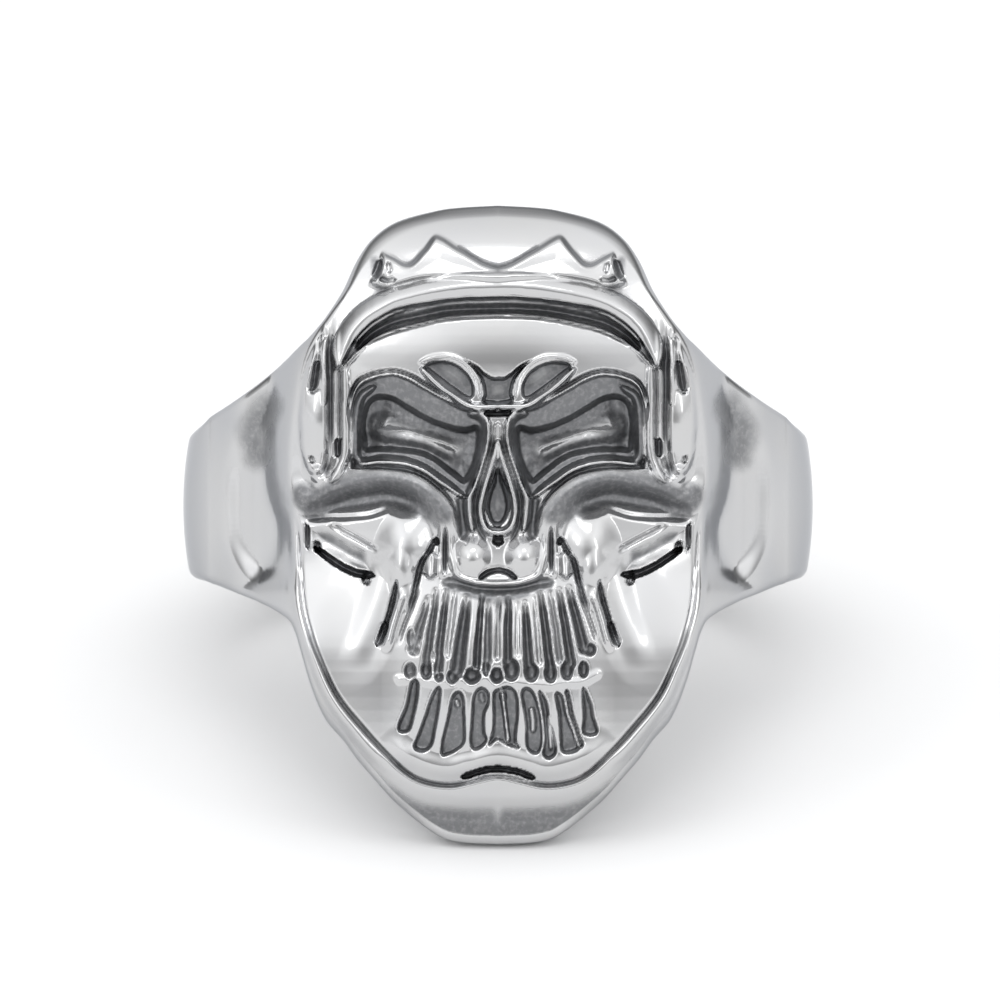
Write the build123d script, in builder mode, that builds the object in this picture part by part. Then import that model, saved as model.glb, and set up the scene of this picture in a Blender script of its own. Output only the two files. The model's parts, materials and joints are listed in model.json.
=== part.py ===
"""Skull ring, cast in one piece of polished steel.

A wide finger band carries a skull mask.  The mask is a height above the bore's axis plane,
worked out from short tables of strokes (rolls and grooves) and patches (raised plates and pits).
Everything is built for the wearer's right half with the bore upright and the face towards -Y,
mirrored, and then leant back until the ring lies on its chin and on the back of its band.
"""

import os
from collections import namedtuple

import numpy as np
from build123d import *

# Driving dimensions, in millimetres and degrees
BORE_RADIUS = 10.3  # US ring size 11
BAND_WALL = 2.0  # metal behind the finger, at the back
BAND_FORWARD = 0.45  # the outside circle is set this far towards the face, so the sides are thicker
BAND_CROWN = 0.3  # the band's outside bulges by this much across its width
BAND_WIDTH = 5.2  # at the back
BAND_SIDE_WIDTH = 6.0  # where the band passes the sides of the finger
HEAD_HEIGHT = 25.4  # chin to the top of the skull
HEAD_ABOVE = 11.9  # of that height, what lies above the middle of the band
FACE_HALF_WIDTH = 8.0  # the mask, at the temples
FACE_DEPTH = 15.2  # the brow, in front of the bore's axis
FACE_SIDE_DROP = 2.3  # the mask falls back by this much from its middle line to its edge
PEDESTAL_DEPTH = 12.4  # the plain metal round the mask, on the middle line
FLANK_FILLET = 0.5  # blend of the mask's flank into the pedestal and the shoulders
BORE_FLARE = 0.9  # the bore widens by this much from the band's edges to the head's ends
EDGE_ROUND = 0.3  # the ends of the wall are rounded back by this much
EDGE_LENGTH = 0.6  # over this length of the wall's thickness
SOCKET_DEPTH = 1.6
RELIEF_STEP = 0.25  # spacing of the heights that the mask's surface passes through
FLANK_SLOPE = 3.6  # beside the temples the mask's flank falls this much per millimetre outwards
RIM_ROUND = 0.3  # the mask's edge is rounded over this length
SHOULDER_EDGE = 0.92  # share of the band's radius where the shoulders' front ends
DISH_DEPTH = 0.34  # a shallow dish in each shoulder
DISH_WALL = 0.85
SURFACE_FIT = 0.02
BORE_STRAIGHT = 6.4  # length of the plain round part of the bore
TOOTH_GAP_FLOOR = 0.08  # width of a gap's floor; its sides open out by the taper
TOOTH_GAP_DEPTH = 0.5
TOOTH_GAP_TAPER = 16.0

SIDE_TURN = 90.0
BACK_TURN = 180.0
CHIN_BELOW = HEAD_HEIGHT - HEAD_ABOVE
BAND_RADIUS = BORE_RADIUS + BAND_WALL + BAND_FORWARD

# A place on the face: across is a share of FACE_HALF_WIDTH from the middle line, and up a share
# of HEAD_HEIGHT from the middle of the band.
Spot = namedtuple("Spot", "across up")
# A roll (rise above 0) or groove (below 0) along a path; width and rise are in millimetres.
Stroke = namedtuple("Stroke", "name half_width rise path")
# A smooth round swelling (or a shallow, rise below 0); its sizes are in millimetres.
Bulb = namedtuple("Bulb", "name half_width half_height rise centre")
# A raised plate or a pit inside an outline, whose wall is spread over a band inside its edge.
Patch = namedtuple("Patch", "name wall rise outline")
# A row of teeth fans from half_top wide on each side at its upper end to half_low at its lower.
TeethRow = namedtuple("TeethRow", "name top low half_top half_low each_side")
# The middle line of the mask seen from the side: depth is a share of FACE_DEPTH.
Profile = namedtuple("Profile", "up depth")
# One end of the wall at a turn round the ring from the face.
End = namedtuple("End", "turn reach")
# A value that changes between two heights on the face, given as shares of HEAD_HEIGHT.
Change = namedtuple("Change", "start full by")


def spots(*pairs):
    return [Spot(*pair) for pair in pairs]


PROFILE = [
    Profile(-0.560, 0.780),
    Profile(-0.500, 0.835),
    Profile(-0.450, 0.885),
    Profile(-0.410, 0.915),
    Profile(-0.370, 0.940),
    Profile(-0.260, 0.972),
    Profile(-0.150, 0.968),
    Profile(-0.060, 0.955),
    Profile(0.060, 0.965),
    Profile(0.160, 0.995),
    Profile(0.250, 1.000),
    Profile(0.330, 0.985),
    Profile(0.385, 0.955),
    Profile(0.430, 0.905),
    Profile(0.468, 0.820),
    Profile(0.500, 0.700),
]
# The line where the mask's flank starts to fall, from the top of the skull down to the chin.
MASK_EDGE = spots(
    (-0.30, 0.453), (0.00, 0.453), (0.31, 0.443), (0.52, 0.418), (0.66, 0.378), (0.756, 0.331),
    (0.875, 0.285), (0.968, 0.224), (1.013, 0.154), (1.038, 0.079), (1.031, 0.024),
    (0.998, -0.031), (0.985, -0.087), (0.968, -0.150), (0.933, -0.197), (0.883, -0.240),
    (0.793, -0.299), (0.668, -0.348), (0.543, -0.392), (0.438, -0.421), (0.325, -0.439),
    (0.163, -0.445), (0.00, -0.445), (-0.30, -0.445),
)  # fmt: skip
# The flank is less steep along the jaw, less again below the chin, and over the top.
FLANK_CHANGES = [Change(-0.020, -0.160, -1.90), Change(-0.354, -0.441, -1.05), Change(0.315, 0.415, -2.60)]
# Along the jaw the mask falls back less towards its edge, by this share.
JAW_FLATTER = Change(-0.080, -0.240, -0.50)
# The dish in a shoulder: across is a share of the way from the face's half width to the
# shoulder's edge, and up a share of BAND_SIDE_WIDTH.
SHOULDER_DISH = spots(
    (0.255, 0.767), (0.483, 0.650), (0.697, 0.483), (0.804, 0.267), (0.831, 0.000),
    (0.804, -0.250), (0.670, -0.417), (0.456, -0.533), (0.241, -0.617), (0.220, -0.333),
    (0.225, 0.167), (0.236, 0.567),
)  # fmt: skip
# The ends of the wall round the ring, read from its outline seen from the front: reach is a
# share of what the head has above (or below) the middle of the band.
UPPER_END = [
    End(0.0, 1.000), End(7.0, 0.992), End(12.0, 0.978), End(18.8, 0.945), End(23.7, 0.890),
    End(27.0, 0.815), End(30.0, 0.715), End(33.5, 0.627), End(37.5, 0.555), End(43.5, 0.480),
    End(53.0, 0.400), End(66.0, 0.318), End(78.0, 0.265),
]  # fmt: skip
LOWER_END = [
    End(0.0, 1.000), End(4.5, 0.996), End(8.9, 0.984), End(14.6, 0.945), End(19.5, 0.874),
    End(27.6, 0.742), End(34.7, 0.620), End(37.6, 0.520), End(39.4, 0.430), End(41.5, 0.362),
    End(45.0, 0.320), End(53.0, 0.285), End(66.0, 0.245), End(78.0, 0.225),
]  # fmt: skip

SOCKET = spots(
    (0.665, 0.087), (0.670, 0.150), (0.635, 0.170), (0.565, 0.178), (0.475, 0.167),
    (0.385, 0.145), (0.295, 0.129), (0.200, 0.124), (0.095, 0.126), (0.072, 0.094),
    (0.100, 0.050), (0.160, 0.033), (0.230, 0.049), (0.345, 0.066), (0.460, 0.079),
    (0.590, 0.083),
)  # fmt: skip
LID = spots(
    (0.735, 0.068), (0.740, 0.129), (0.715, 0.160), (0.660, 0.185), (0.580, 0.203),
    (0.500, 0.205), (0.420, 0.196), (0.335, 0.178), (0.245, 0.158), (0.150, 0.144),
    (0.060, 0.138), (0.045, 0.100), (0.090, 0.044), (0.150, 0.014), (0.220, 0.022),
    (0.300, 0.042), (0.420, 0.060), (0.580, 0.066),
)  # fmt: skip
BROW_DIMPLE = spots(
    (0.375, 0.217), (0.260, 0.226), (0.155, 0.213), (0.085, 0.192), (0.080, 0.173),
    (0.130, 0.163), (0.220, 0.180), (0.320, 0.200),
)  # fmt: skip
FROWN = spots(
    (-0.200, 0.206), (0.040, 0.204), (0.075, 0.187), (0.080, 0.168), (0.040, 0.160),
    (-0.200, 0.160),
)  # fmt: skip
NOSE_OPENING = spots(
    (0.000, 0.070), (0.030, 0.030), (0.052, 0.000), (0.048, -0.020), (0.000, -0.036),
    (-0.048, -0.020), (-0.052, 0.000), (-0.030, 0.030),
)  # fmt: skip
TEMPLE = spots(
    (0.835, 0.295), (0.915, 0.252), (0.960, 0.197), (1.000, 0.134), (0.995, 0.090),
    (0.950, 0.066), (0.850, 0.066), (0.795, 0.095), (0.795, 0.142), (0.800, 0.205),
    (0.815, 0.252),
)  # fmt: skip
POINTED_PLATE = spots(
    (-0.300, 0.376), (0.000, 0.376), (0.125, 0.390), (0.225, 0.408), (0.310, 0.425),
    (0.375, 0.403), (0.450, 0.377), (0.515, 0.390), (0.585, 0.400), (0.615, 0.375),
    (0.650, 0.325), (0.550, 0.325), (0.300, 0.340), (-0.300, 0.340),
)  # fmt: skip

PATCHES = [
    Patch("pointed plate over the brim", 0.50, 0.40, POINTED_PLATE),
    Patch("temple boss", 0.55, 0.45, TEMPLE),
    Patch("hollow round the socket", 0.65, -0.40, LID),
    Patch("eye socket", 0.55, 0.40 - SOCKET_DEPTH, SOCKET),
    Patch("dimple over the brow", 0.45, -0.45, BROW_DIMPLE),
    Patch("frown", 0.50, -0.50, FROWN),
    Patch("nose opening", 0.40, -0.60, NOSE_OPENING),
]
STROKES = [
    Stroke("brim", 0.45, 0.75, spots(
        (-0.30, 0.340), (0.00, 0.340), (0.31, 0.333), (0.51, 0.316), (0.66, 0.288),
        (0.75, 0.244), (0.79, 0.200))),
    Stroke("groove under the brim", 0.52, -0.85, spots(
        (-0.30, 0.308), (0.00, 0.308), (0.31, 0.301), (0.50, 0.284), (0.65, 0.252),
        (0.72, 0.215))),
    Stroke("groove beside the temple", 0.26, -0.45, spots(
        (0.785, 0.225), (0.783, 0.150), (0.783, 0.085))),
    Stroke("slot in the temple", 0.28, -0.60, spots((0.885, 0.250), (0.905, 0.165))),
    Stroke("hook below the temple", 0.26, 0.35, spots(
        (0.79, 0.075), (0.81, 0.057), (0.87, 0.044), (0.94, 0.047))),
    Stroke("roll under the eye", 0.42, 0.60, spots(
        (0.96, 0.040), (0.84, 0.037), (0.75, 0.043), (0.59, 0.054), (0.46, 0.055),
        (0.36, 0.041), (0.29, 0.014), (0.255, -0.022), (0.240, -0.060), (0.230, -0.090))),
    Stroke("hollow under that roll", 0.42, -0.65, spots(
        (0.93, 0.003), (0.75, 0.008), (0.58, 0.013), (0.44, 0.013), (0.36, 0.000),
        (0.32, -0.024))),
    Stroke("cheek arch", 0.50, 0.45, spots((0.88, -0.035), (0.56, -0.091))),
    Stroke("slit under the cheek arch", 0.24, -0.70, spots((0.91, -0.063), (0.63, -0.117))),
    Stroke("cord of the jaw", 0.34, 0.40, spots(
        (0.57, -0.110), (0.594, -0.134), (0.638, -0.169), (0.688, -0.213), (0.735, -0.248))),
    Stroke("slot in the cord", 0.20, -0.40, spots(
        (0.50, -0.118), (0.518, -0.142), (0.55, -0.181), (0.594, -0.220))),
    Stroke("bridge of the nose", 0.30, 0.45, spots((0.00, 0.135), (0.00, 0.060))),
    Stroke("rim of the nose", 0.22, 0.40, spots(
        (0.010, 0.115), (0.035, 0.075), (0.055, 0.035), (0.085, 0.000), (0.080, -0.024),
        (0.040, -0.046), (0.000, -0.052))),
    Stroke("groove beside the nose", 0.24, -0.50, spots(
        (0.150, 0.006), (0.165, -0.024), (0.160, -0.058))),
    Stroke("groove over the teeth", 0.28, -0.50, spots(
        (-0.10, -0.112), (0.00, -0.112), (0.12, -0.119), (0.22, -0.116), (0.32, -0.106))),
    Stroke("bulge of the upper teeth", 1.10, 0.35, spots((-0.15, -0.190), (0.34, -0.190))),
    Stroke("line between the teeth", 0.24, -0.50, spots(
        (-0.15, -0.267), (0.20, -0.268), (0.36, -0.264), (0.48, -0.258))),
    Stroke("bulge of the lower teeth", 0.90, 0.25, spots((-0.15, -0.325), (0.36, -0.322))),
    Stroke("chin ridge", 0.44, 0.40, spots(
        (-0.125, -0.402), (0.00, -0.392), (0.125, -0.402), (0.250, -0.408), (0.375, -0.402),
        (0.500, -0.378), (0.625, -0.335))),
    Stroke("slit in the chin", 0.22, -0.45, spots(
        (-0.088, -0.416), (0.00, -0.412), (0.088, -0.416), (0.175, -0.425))),
]  # fmt: skip
BULBS = [
    Bulb("head of the cheekbone", 1.05, 1.10, 0.52, Spot(0.473, -0.057)),
    Bulb("foot of the cheekbone", 0.60, 1.10, 0.42, Spot(0.483, -0.104)),
    Bulb("wing of the nose", 0.66, 0.70, 0.72, Spot(0.125, -0.081)),
    Bulb("foot of the wing", 0.62, 0.50, 0.30, Spot(0.163, -0.098)),
    Bulb("boss of the temple", 0.60, 1.10, 0.22, Spot(0.918, 0.122)),
    Bulb("shallow of the jaw", 1.70, 3.00, -0.26, Spot(0.700, -0.181)),
    Bulb("swell of the forehead", 6.00, 1.60, 0.22, Spot(0.000, 0.244)),
]
TEETH = [
    TeethRow("upper", -0.122, -0.262, 0.400, 0.500, 5),
    TeethRow("lower", -0.272, -0.384, 0.500, 0.460, 5),
]


def step(t):
    """0 below 0, 1 above 1, and a smooth climb between."""
    t = np.clip(t, 0.0, 1.0)
    return t * t * (3.0 - 2.0 * t)


def larger(a, b, blend):
    """The larger of two heights, with their crossing rounded over the blend."""
    mix = np.clip(0.5 + 0.5 * (a - b) / blend, 0.0, 1.0)
    return b + (a - b) * mix + blend * mix * (1.0 - mix)


def curve_through(rows, closed=False, pieces=6):
    """A smooth line through the rows of a table, as an array of points."""
    rows = np.array(rows, float)
    if closed:
        padded = np.vstack([rows[-1:], rows, rows[:2]])
    else:
        padded = np.vstack([2 * rows[0] - rows[1], rows, 2 * rows[-1] - rows[-2]])
    before, here, there, after = padded[:-3], padded[1:-2], padded[2:-1], padded[3:]
    t = np.linspace(0.0, 1.0, pieces, endpoint=False)[None, :, None]
    before, here, there, after = (p[:, None, :] for p in (before, here, there, after))
    line = 0.5 * (
        2 * here
        + (there - before) * t
        + (2 * before - 5 * here + 4 * there - after) * t**2
        + (3 * here - before - 3 * there + after) * t**3
    )
    line = line.reshape(-1, rows.shape[1])
    return line if closed else np.vstack([line, rows[-1:]])


def on_face(places):
    """Places on the face in millimetres, across and up."""
    return np.array(places, float) * (FACE_HALF_WIDTH, HEAD_HEIGHT)


def distance_to(line, across, up):
    """Distance of each point from a line of straight pieces."""
    nearest = np.full(across.shape, np.inf)
    for (x0, z0), (x1, z1) in zip(line[:-1], line[1:]):
        dx, dz = x1 - x0, z1 - z0
        along = ((across - x0) * dx + (up - z0) * dz) / (dx * dx + dz * dz)
        along = np.clip(along, 0.0, 1.0)
        away = np.hypot(across - x0 - along * dx, up - z0 - along * dz)
        nearest = np.minimum(nearest, away)
    return nearest


def depth_inside(outline, across, up):
    """Distance in from a closed outline's edge, and below 0 outside it."""
    ring = np.vstack([outline, outline[:1]])
    inside = np.zeros(across.shape, bool)
    for (x0, z0), (x1, z1) in zip(ring[:-1], ring[1:]):
        if z0 != z1:
            crosses = (z0 > up) != (z1 > up)
            inside ^= crosses & (across < x0 + (up - z0) * (x1 - x0) / (z1 - z0))
    away = distance_to(ring, across, up)
    return np.where(inside, away, -away)


def table_value(rows, at):
    """A value read from a two-column table along its smooth line."""
    line = curve_through(rows)
    return np.interp(at, line[:, 0], line[:, 1])


def changed(change, up):
    """How much of a change there is at each height."""
    return change.by * step((up / HEAD_HEIGHT - change.start) / (change.full - change.start))


def mask_height(across, up):
    """The mask's height in front of the bore's axis, before it meets the pedestal."""
    middle = FACE_DEPTH * table_value(PROFILE, up / HEAD_HEIGHT)
    side_drop = FACE_SIDE_DROP * (1.0 + changed(JAW_FLATTER, up))
    height = middle - side_drop * (across / FACE_HALF_WIDTH) ** 2
    for patch in PATCHES:
        inside = depth_inside(curve_through(on_face(patch.outline), closed=True), across, up)
        height = height + patch.rise * step(inside / patch.wall)
    for stroke in STROKES:
        away = distance_to(curve_through(on_face(stroke.path)), across, up)
        height = height + stroke.rise * (1.0 - step(away / (1.6 * stroke.half_width)))
    for bulb in BULBS:
        centre_across, centre_up = on_face(bulb.centre)
        aside = (across - centre_across) / bulb.half_width
        above = (up - centre_up) / bulb.half_height
        height = height + bulb.rise * np.clip(1.0 - aside**2 - above**2, 0.0, 1.0) ** 1.5
    outside = -depth_inside(curve_through(on_face(MASK_EDGE), closed=True), across, up)
    return height - flank_drop(outside, up)


def flank_drop(outside, up):
    """How far the mask's flank has fallen at a distance outside the mask's edge."""
    steepness = FLANK_SLOPE + sum(changed(change, up) for change in FLANK_CHANGES)
    rounded = np.maximum(outside + RIM_ROUND, 0.0)
    return steepness * rounded**2 / (rounded + RIM_ROUND)


def band_depth(across, up):
    """Depth of the band's outside in front of the bore's axis."""
    radius = BAND_RADIUS - BAND_CROWN * (2 * up / BAND_SIDE_WIDTH) ** 2
    return BAND_FORWARD + np.sqrt(np.maximum(radius**2 - across**2, 0.0))


def pedestal_height(across, up):
    """The plain metal round the mask, which runs out into the dished shoulders of the band."""
    edge = SHOULDER_EDGE * BAND_RADIUS
    rows = [
        (-0.30, PEDESTAL_DEPTH - 0.30),
        (0.00, PEDESTAL_DEPTH),
        (0.30, PEDESTAL_DEPTH - 0.30),
        (0.52, PEDESTAL_DEPTH - 1.25),
        (0.68, PEDESTAL_DEPTH - 2.62),
        (0.80, PEDESTAL_DEPTH - 3.66),
        (0.90, PEDESTAL_DEPTH - 5.00),
        (1.00, PEDESTAL_DEPTH - 6.80),
    ]
    height = table_value(rows, np.minimum(across / edge, 1.0))
    at_edge = band_depth(np.full(up.shape, edge), np.minimum(np.abs(up), 0.6 * BAND_SIDE_WIDTH))
    height = height + (at_edge - rows[-1][1]) * step((across / edge - 0.86) / 0.14)
    dish = np.array(SHOULDER_DISH) * (edge - FACE_HALF_WIDTH, BAND_SIDE_WIDTH)
    dish = curve_through(dish + (FACE_HALF_WIDTH, 0.0), closed=True)
    return height - DISH_DEPTH * step(depth_inside(dish, across, up) / DISH_WALL)


def front_height(across, up):
    across = np.abs(across)
    return larger(mask_height(across, up), pedestal_height(across, up), FLANK_FILLET)


def relief_cutter():
    """Everything in front of the ring's face, lofted through one section at each height."""
    past = 3 * RELIEF_STEP
    across = np.arange(-past, BAND_RADIUS + past, RELIEF_STEP)
    heights = np.arange(-CHIN_BELOW - past, HEAD_ABOVE + past + RELIEF_STEP, RELIEF_STEP)
    in_front = 2 * FACE_DEPTH
    with BuildPart() as cutter:
        for up in heights:
            depth = front_height(across, np.full(across.shape, up))
            with BuildSketch(Plane.XY.offset(up)):
                with BuildLine():
                    face = Edge.make_spline(
                        [Vector(*point) for point in zip(across, -depth)],
                        parameters=list(np.linspace(0.0, 1.0, len(across))),
                    )
                    add(face)
                    Polyline(
                        face @ 1, (across[-1], -in_front), (across[0], -in_front), face @ 0
                    )
                make_face()
        loft(ruled=True)
    return cutter.part


def end_line(side, turn, reach):
    """Points (outward, up) across the wall's end at one turn of the ring, and their direction.

    Outward is measured from the band's outer circle along the direction. Under the head the
    direction is straight towards the viewer, and round the band it is out from the finger.
    """
    direction = turn * step((turn - 40.0) / 40.0)
    behind = step((turn - 55.0) / 25.0)
    head = HEAD_ABOVE if side > 0 else CHIN_BELOW
    straight = BORE_STRAIGHT / 2
    bore = BORE_RADIUS + BORE_FLARE * max(0.0, (reach - straight) / (head - straight))
    outer = BORE_RADIUS + BAND_WALL
    along = outer * np.cos(np.radians(turn - direction))
    wall = along - np.sqrt(along**2 - outer**2 + bore**2)
    inner_part = -wall - EDGE_LENGTH * np.array([2.5, 1.8, 1.2, 0.6, 0.0, -0.5, -1.0])
    front = 1.0 + 6.0 * (1.0 - behind)
    outer_part = EDGE_LENGTH * np.array([-1.0, -0.5, 0.0, 0.5, front, 1.5 * front])
    away = np.concatenate([inner_part, [-wall / 2], outer_part])
    inner_drop = np.maximum(-away - wall + EDGE_LENGTH, 0.0) / EDGE_LENGTH
    outer_drop = np.maximum(away + EDGE_LENGTH, 0.0) / EDGE_LENGTH
    drop = EDGE_ROUND * (inner_drop**2 + behind * outer_drop**2)
    return away, side * (reach - drop), direction


def end_cutter(side):
    """Everything above the ring's upper end (side 1) or below its lower end (side -1)."""
    table, head = (UPPER_END, HEAD_ABOVE) if side > 0 else (LOWER_END, CHIN_BELOW)
    rows = [(end.turn, end.reach * head) for end in table]
    rows += [(SIDE_TURN, BAND_SIDE_WIDTH / 2), (BACK_TURN, BAND_WIDTH / 2)]
    turns = np.concatenate([np.arange(-6.0, 60.0, 1.5), np.linspace(60.0, BACK_TURN + 6.0, 22)])
    outer = BORE_RADIUS + BAND_WALL
    grid = []
    for turn in turns:
        folded = BACK_TURN - abs(BACK_TURN - abs(turn))
        away, up, direction = end_line(side, folded, table_value(rows, folded))
        direction = np.radians(direction + (turn - folded if turn > 0 else 0.0))
        angle = np.radians(turn)
        x = outer * np.sin(angle) + away * np.sin(direction)
        y = -outer * np.cos(angle) - away * np.cos(direction)
        grid.append([Vector(*point) for point in zip(x, y, up)])
    face = Face.make_surface_from_array_of_points(grid, tol=SURFACE_FIT)
    with BuildPart() as cutter:
        extrude(face, amount=HEAD_HEIGHT, dir=(0, 0, side))
    return cutter.part


def lean_angle():
    """The angle at which the chin and the back of the band both touch a level floor."""
    outer = BORE_RADIUS + BAND_WALL
    edges = []
    for turn, reach, outside in (
        (0.0, CHIN_BELOW, PEDESTAL_DEPTH),
        (BACK_TURN, BAND_WIDTH / 2, outer),
    ):
        away, up, _ = end_line(-1, turn, reach)
        depth = np.linspace(BORE_RADIUS, outside, 60)
        height = np.interp(depth, outer + away, up)
        edges.append((depth * np.cos(np.radians(turn)), height))
    angle = 0.0
    for _ in range(12):
        turned = np.radians(angle)
        lowest = []
        for forward, up in edges:
            at = np.argmin(up * np.cos(turned) + forward * np.sin(turned))
            lowest.append((forward[at], up[at]))
        (chin, chin_up), (back, back_up) = lowest
        angle = np.degrees(np.arctan2(back_up - chin_up, chin - back))
    return float(angle)


def tooth_gap(row, number):
    """A wedge between two teeth of a row, counted from the middle line."""
    share = number / row.each_side
    top = np.array((row.half_top * share * FACE_HALF_WIDTH, row.top * HEAD_HEIGHT))
    low = np.array((row.half_low * share * FACE_HALF_WIDTH, row.low * HEAD_HEIGHT))
    across, up = (top + low) / 2
    length = float(np.hypot(*(top - low)))
    turn = float(np.degrees(np.arctan2(low[0] - top[0], top[1] - low[1])))
    surface = float(front_height(np.array([across]), np.array([up]))[0])
    width = TOOTH_GAP_FLOOR + 4 * TOOTH_GAP_DEPTH * np.tan(np.radians(TOOTH_GAP_TAPER))
    mouth = Plane(
        origin=(across, -surface - TOOTH_GAP_DEPTH, up), x_dir=(1, 0, 0), z_dir=(0, -1, 0)
    )
    with BuildPart() as wedge:
        with BuildSketch(mouth):
            Rectangle(width, length, rotation=turn)
        extrude(amount=-2 * TOOTH_GAP_DEPTH, taper=TOOTH_GAP_TAPER)
    return wedge.part


with BuildPart() as band_blank:
    with BuildSketch(Plane.XZ) as band_section:
        with BuildLine():
            half_blank = 0.75 * BAND_SIDE_WIDTH
            crown_end = BAND_RADIUS - BAND_CROWN * (2 * half_blank / BAND_SIDE_WIDTH) ** 2
            outside = ThreePointArc(
                (crown_end, -half_blank), (BAND_RADIUS, 0), (crown_end, half_blank)
            )
            Polyline(outside @ 1, (0, half_blank), (0, -half_blank), outside @ 0)
        make_face()
    revolve(axis=Axis.Z)

with BuildPart() as bore:
    with BuildSketch(Plane.XZ) as bore_section:
        with BuildLine():
            straight = BORE_STRAIGHT / 2
            wide = BORE_RADIUS + BORE_FLARE
            past_end = HEAD_HEIGHT / 2
            low_run = (CHIN_BELOW + past_end - straight) / (CHIN_BELOW - straight)
            high_run = (HEAD_ABOVE + past_end - straight) / (HEAD_ABOVE - straight)
            Polyline(
                (0, -CHIN_BELOW - past_end),
                (BORE_RADIUS + BORE_FLARE * low_run, -CHIN_BELOW - past_end),
                (BORE_RADIUS, -straight),
                (BORE_RADIUS, straight),
                (BORE_RADIUS + BORE_FLARE * high_run, HEAD_ABOVE + past_end),
                (0, HEAD_ABOVE + past_end),
                close=True,
            )
        make_face()
    revolve(axis=Axis.Z)

with BuildPart() as half:
    with Locations((0, -BAND_FORWARD, 0)):
        add(band_blank.part)
    with Locations((0, 0, (HEAD_ABOVE - CHIN_BELOW) / 2)):
        Box(
            2 * SHOULDER_EDGE * BAND_RADIUS,
            2 * FACE_DEPTH,
            HEAD_HEIGHT + 2 * RELIEF_STEP,
            align=(Align.CENTER, Align.MAX, Align.CENTER),
        )
    add(bore.part, mode=Mode.SUBTRACT)
    split(bisect_by=Plane.YZ)
    add(relief_cutter(), mode=Mode.SUBTRACT, clean=False)
    add(end_cutter(1), mode=Mode.SUBTRACT, clean=False)
    add(end_cutter(-1), mode=Mode.SUBTRACT, clean=False)
    gaps = [tooth_gap(row, number) for row in TEETH for number in range(row.each_side + 1)]
    add(gaps, mode=Mode.SUBTRACT, clean=False)

with BuildPart() as leaning:
    with Locations(Rotation(-lean_angle(), 0, 0)):
        add(half.part)
        add(mirror(half.part, about=Plane.YZ, mode=Mode.PRIVATE), clean=False)

box = leaning.part.bounding_box()
with BuildPart() as skull_ring:
    with Locations((0, -box.center().Y, -box.min.Z)):
        add(leaning.part)

os.makedirs("parts", exist_ok=True)
skull_ring.part.label = "skull_ring"
export_step(skull_ring.part, "parts/skull_ring.step")
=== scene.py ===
"""Looks of the skull ring: one polished casting, sculpted as a closed surface over the CAD solid.

Lengths are in millimetres in the ring's own frame until they are put into the mesh: right across
the face, up along the finger, and forward out of the face. The ring lies on its chin and the back
of its band, so that frame leans back; the bore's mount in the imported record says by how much.
"""

import json
import math
from collections import namedtuple

import bpy
import numpy as np
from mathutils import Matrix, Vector


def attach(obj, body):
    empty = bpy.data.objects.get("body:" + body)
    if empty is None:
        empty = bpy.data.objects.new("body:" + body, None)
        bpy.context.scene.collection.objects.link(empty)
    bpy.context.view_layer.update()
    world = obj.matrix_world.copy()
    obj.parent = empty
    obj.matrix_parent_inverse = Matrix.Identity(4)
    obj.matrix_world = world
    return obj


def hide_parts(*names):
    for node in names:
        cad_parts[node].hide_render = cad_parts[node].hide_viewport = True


bl_info = {
    "name": "Skull ring",
    "version": (1, 0, 0),
    "blender": (4, 5, 0),
    "location": "View3D > Sidebar > Ring",
    "description": "Sculpts the cast skull ring over its CAD solid and lights it",
    "category": "Object",
}

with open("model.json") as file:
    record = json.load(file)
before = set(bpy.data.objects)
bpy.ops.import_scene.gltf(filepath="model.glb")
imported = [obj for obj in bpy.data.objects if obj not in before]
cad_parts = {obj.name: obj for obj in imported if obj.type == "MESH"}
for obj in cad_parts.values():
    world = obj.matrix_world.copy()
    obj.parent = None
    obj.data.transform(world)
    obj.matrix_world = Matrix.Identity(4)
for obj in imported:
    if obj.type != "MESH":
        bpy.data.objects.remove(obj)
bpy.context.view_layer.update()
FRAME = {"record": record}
BORE = FRAME["record"]["mounts"][0]
BORE_CENTRE = np.array(BORE["pos_m"], float)
BORE_AXIS = np.array(BORE["axis"], float)
LEAN = math.atan2(BORE_AXIS[1], BORE_AXIS[2])
MM = 0.001


# Sizes and finishes that a user would change.


class RingSizes(bpy.types.PropertyGroup):
    """Sizes of the casting, as in the CAD solid."""

    bore_radius: bpy.props.FloatProperty(
        name="Bore radius", description="Radius of the finger hole, in mm",
        default=BORE["dims"]["r_mm"], min=5.0, max=15.0,
    )
    bore_straight: bpy.props.FloatProperty(
        name="Straight bore", description="Length of the bore's plain round part, in mm",
        default=BORE["dims"]["length_mm"], min=1.0, max=20.0,
    )
    band_radius: bpy.props.FloatProperty(
        name="Band radius", description="Outside radius of the band, in mm",
        default=12.75, min=6.0, max=20.0,
    )
    band_forward: bpy.props.FloatProperty(
        name="Band forward", description="How far the band's outside is set forward, in mm",
        default=0.45, min=0.0, max=2.0,
    )
    band_width: bpy.props.FloatProperty(
        name="Band width", description="Width of the band at its back, in mm",
        default=5.2, min=2.0, max=12.0,
    )
    face_depth: bpy.props.FloatProperty(
        name="Relief", description="Strength of all the carved relief",
        default=1.0, min=0.0, max=2.0, subtype="FACTOR",
    )


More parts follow.
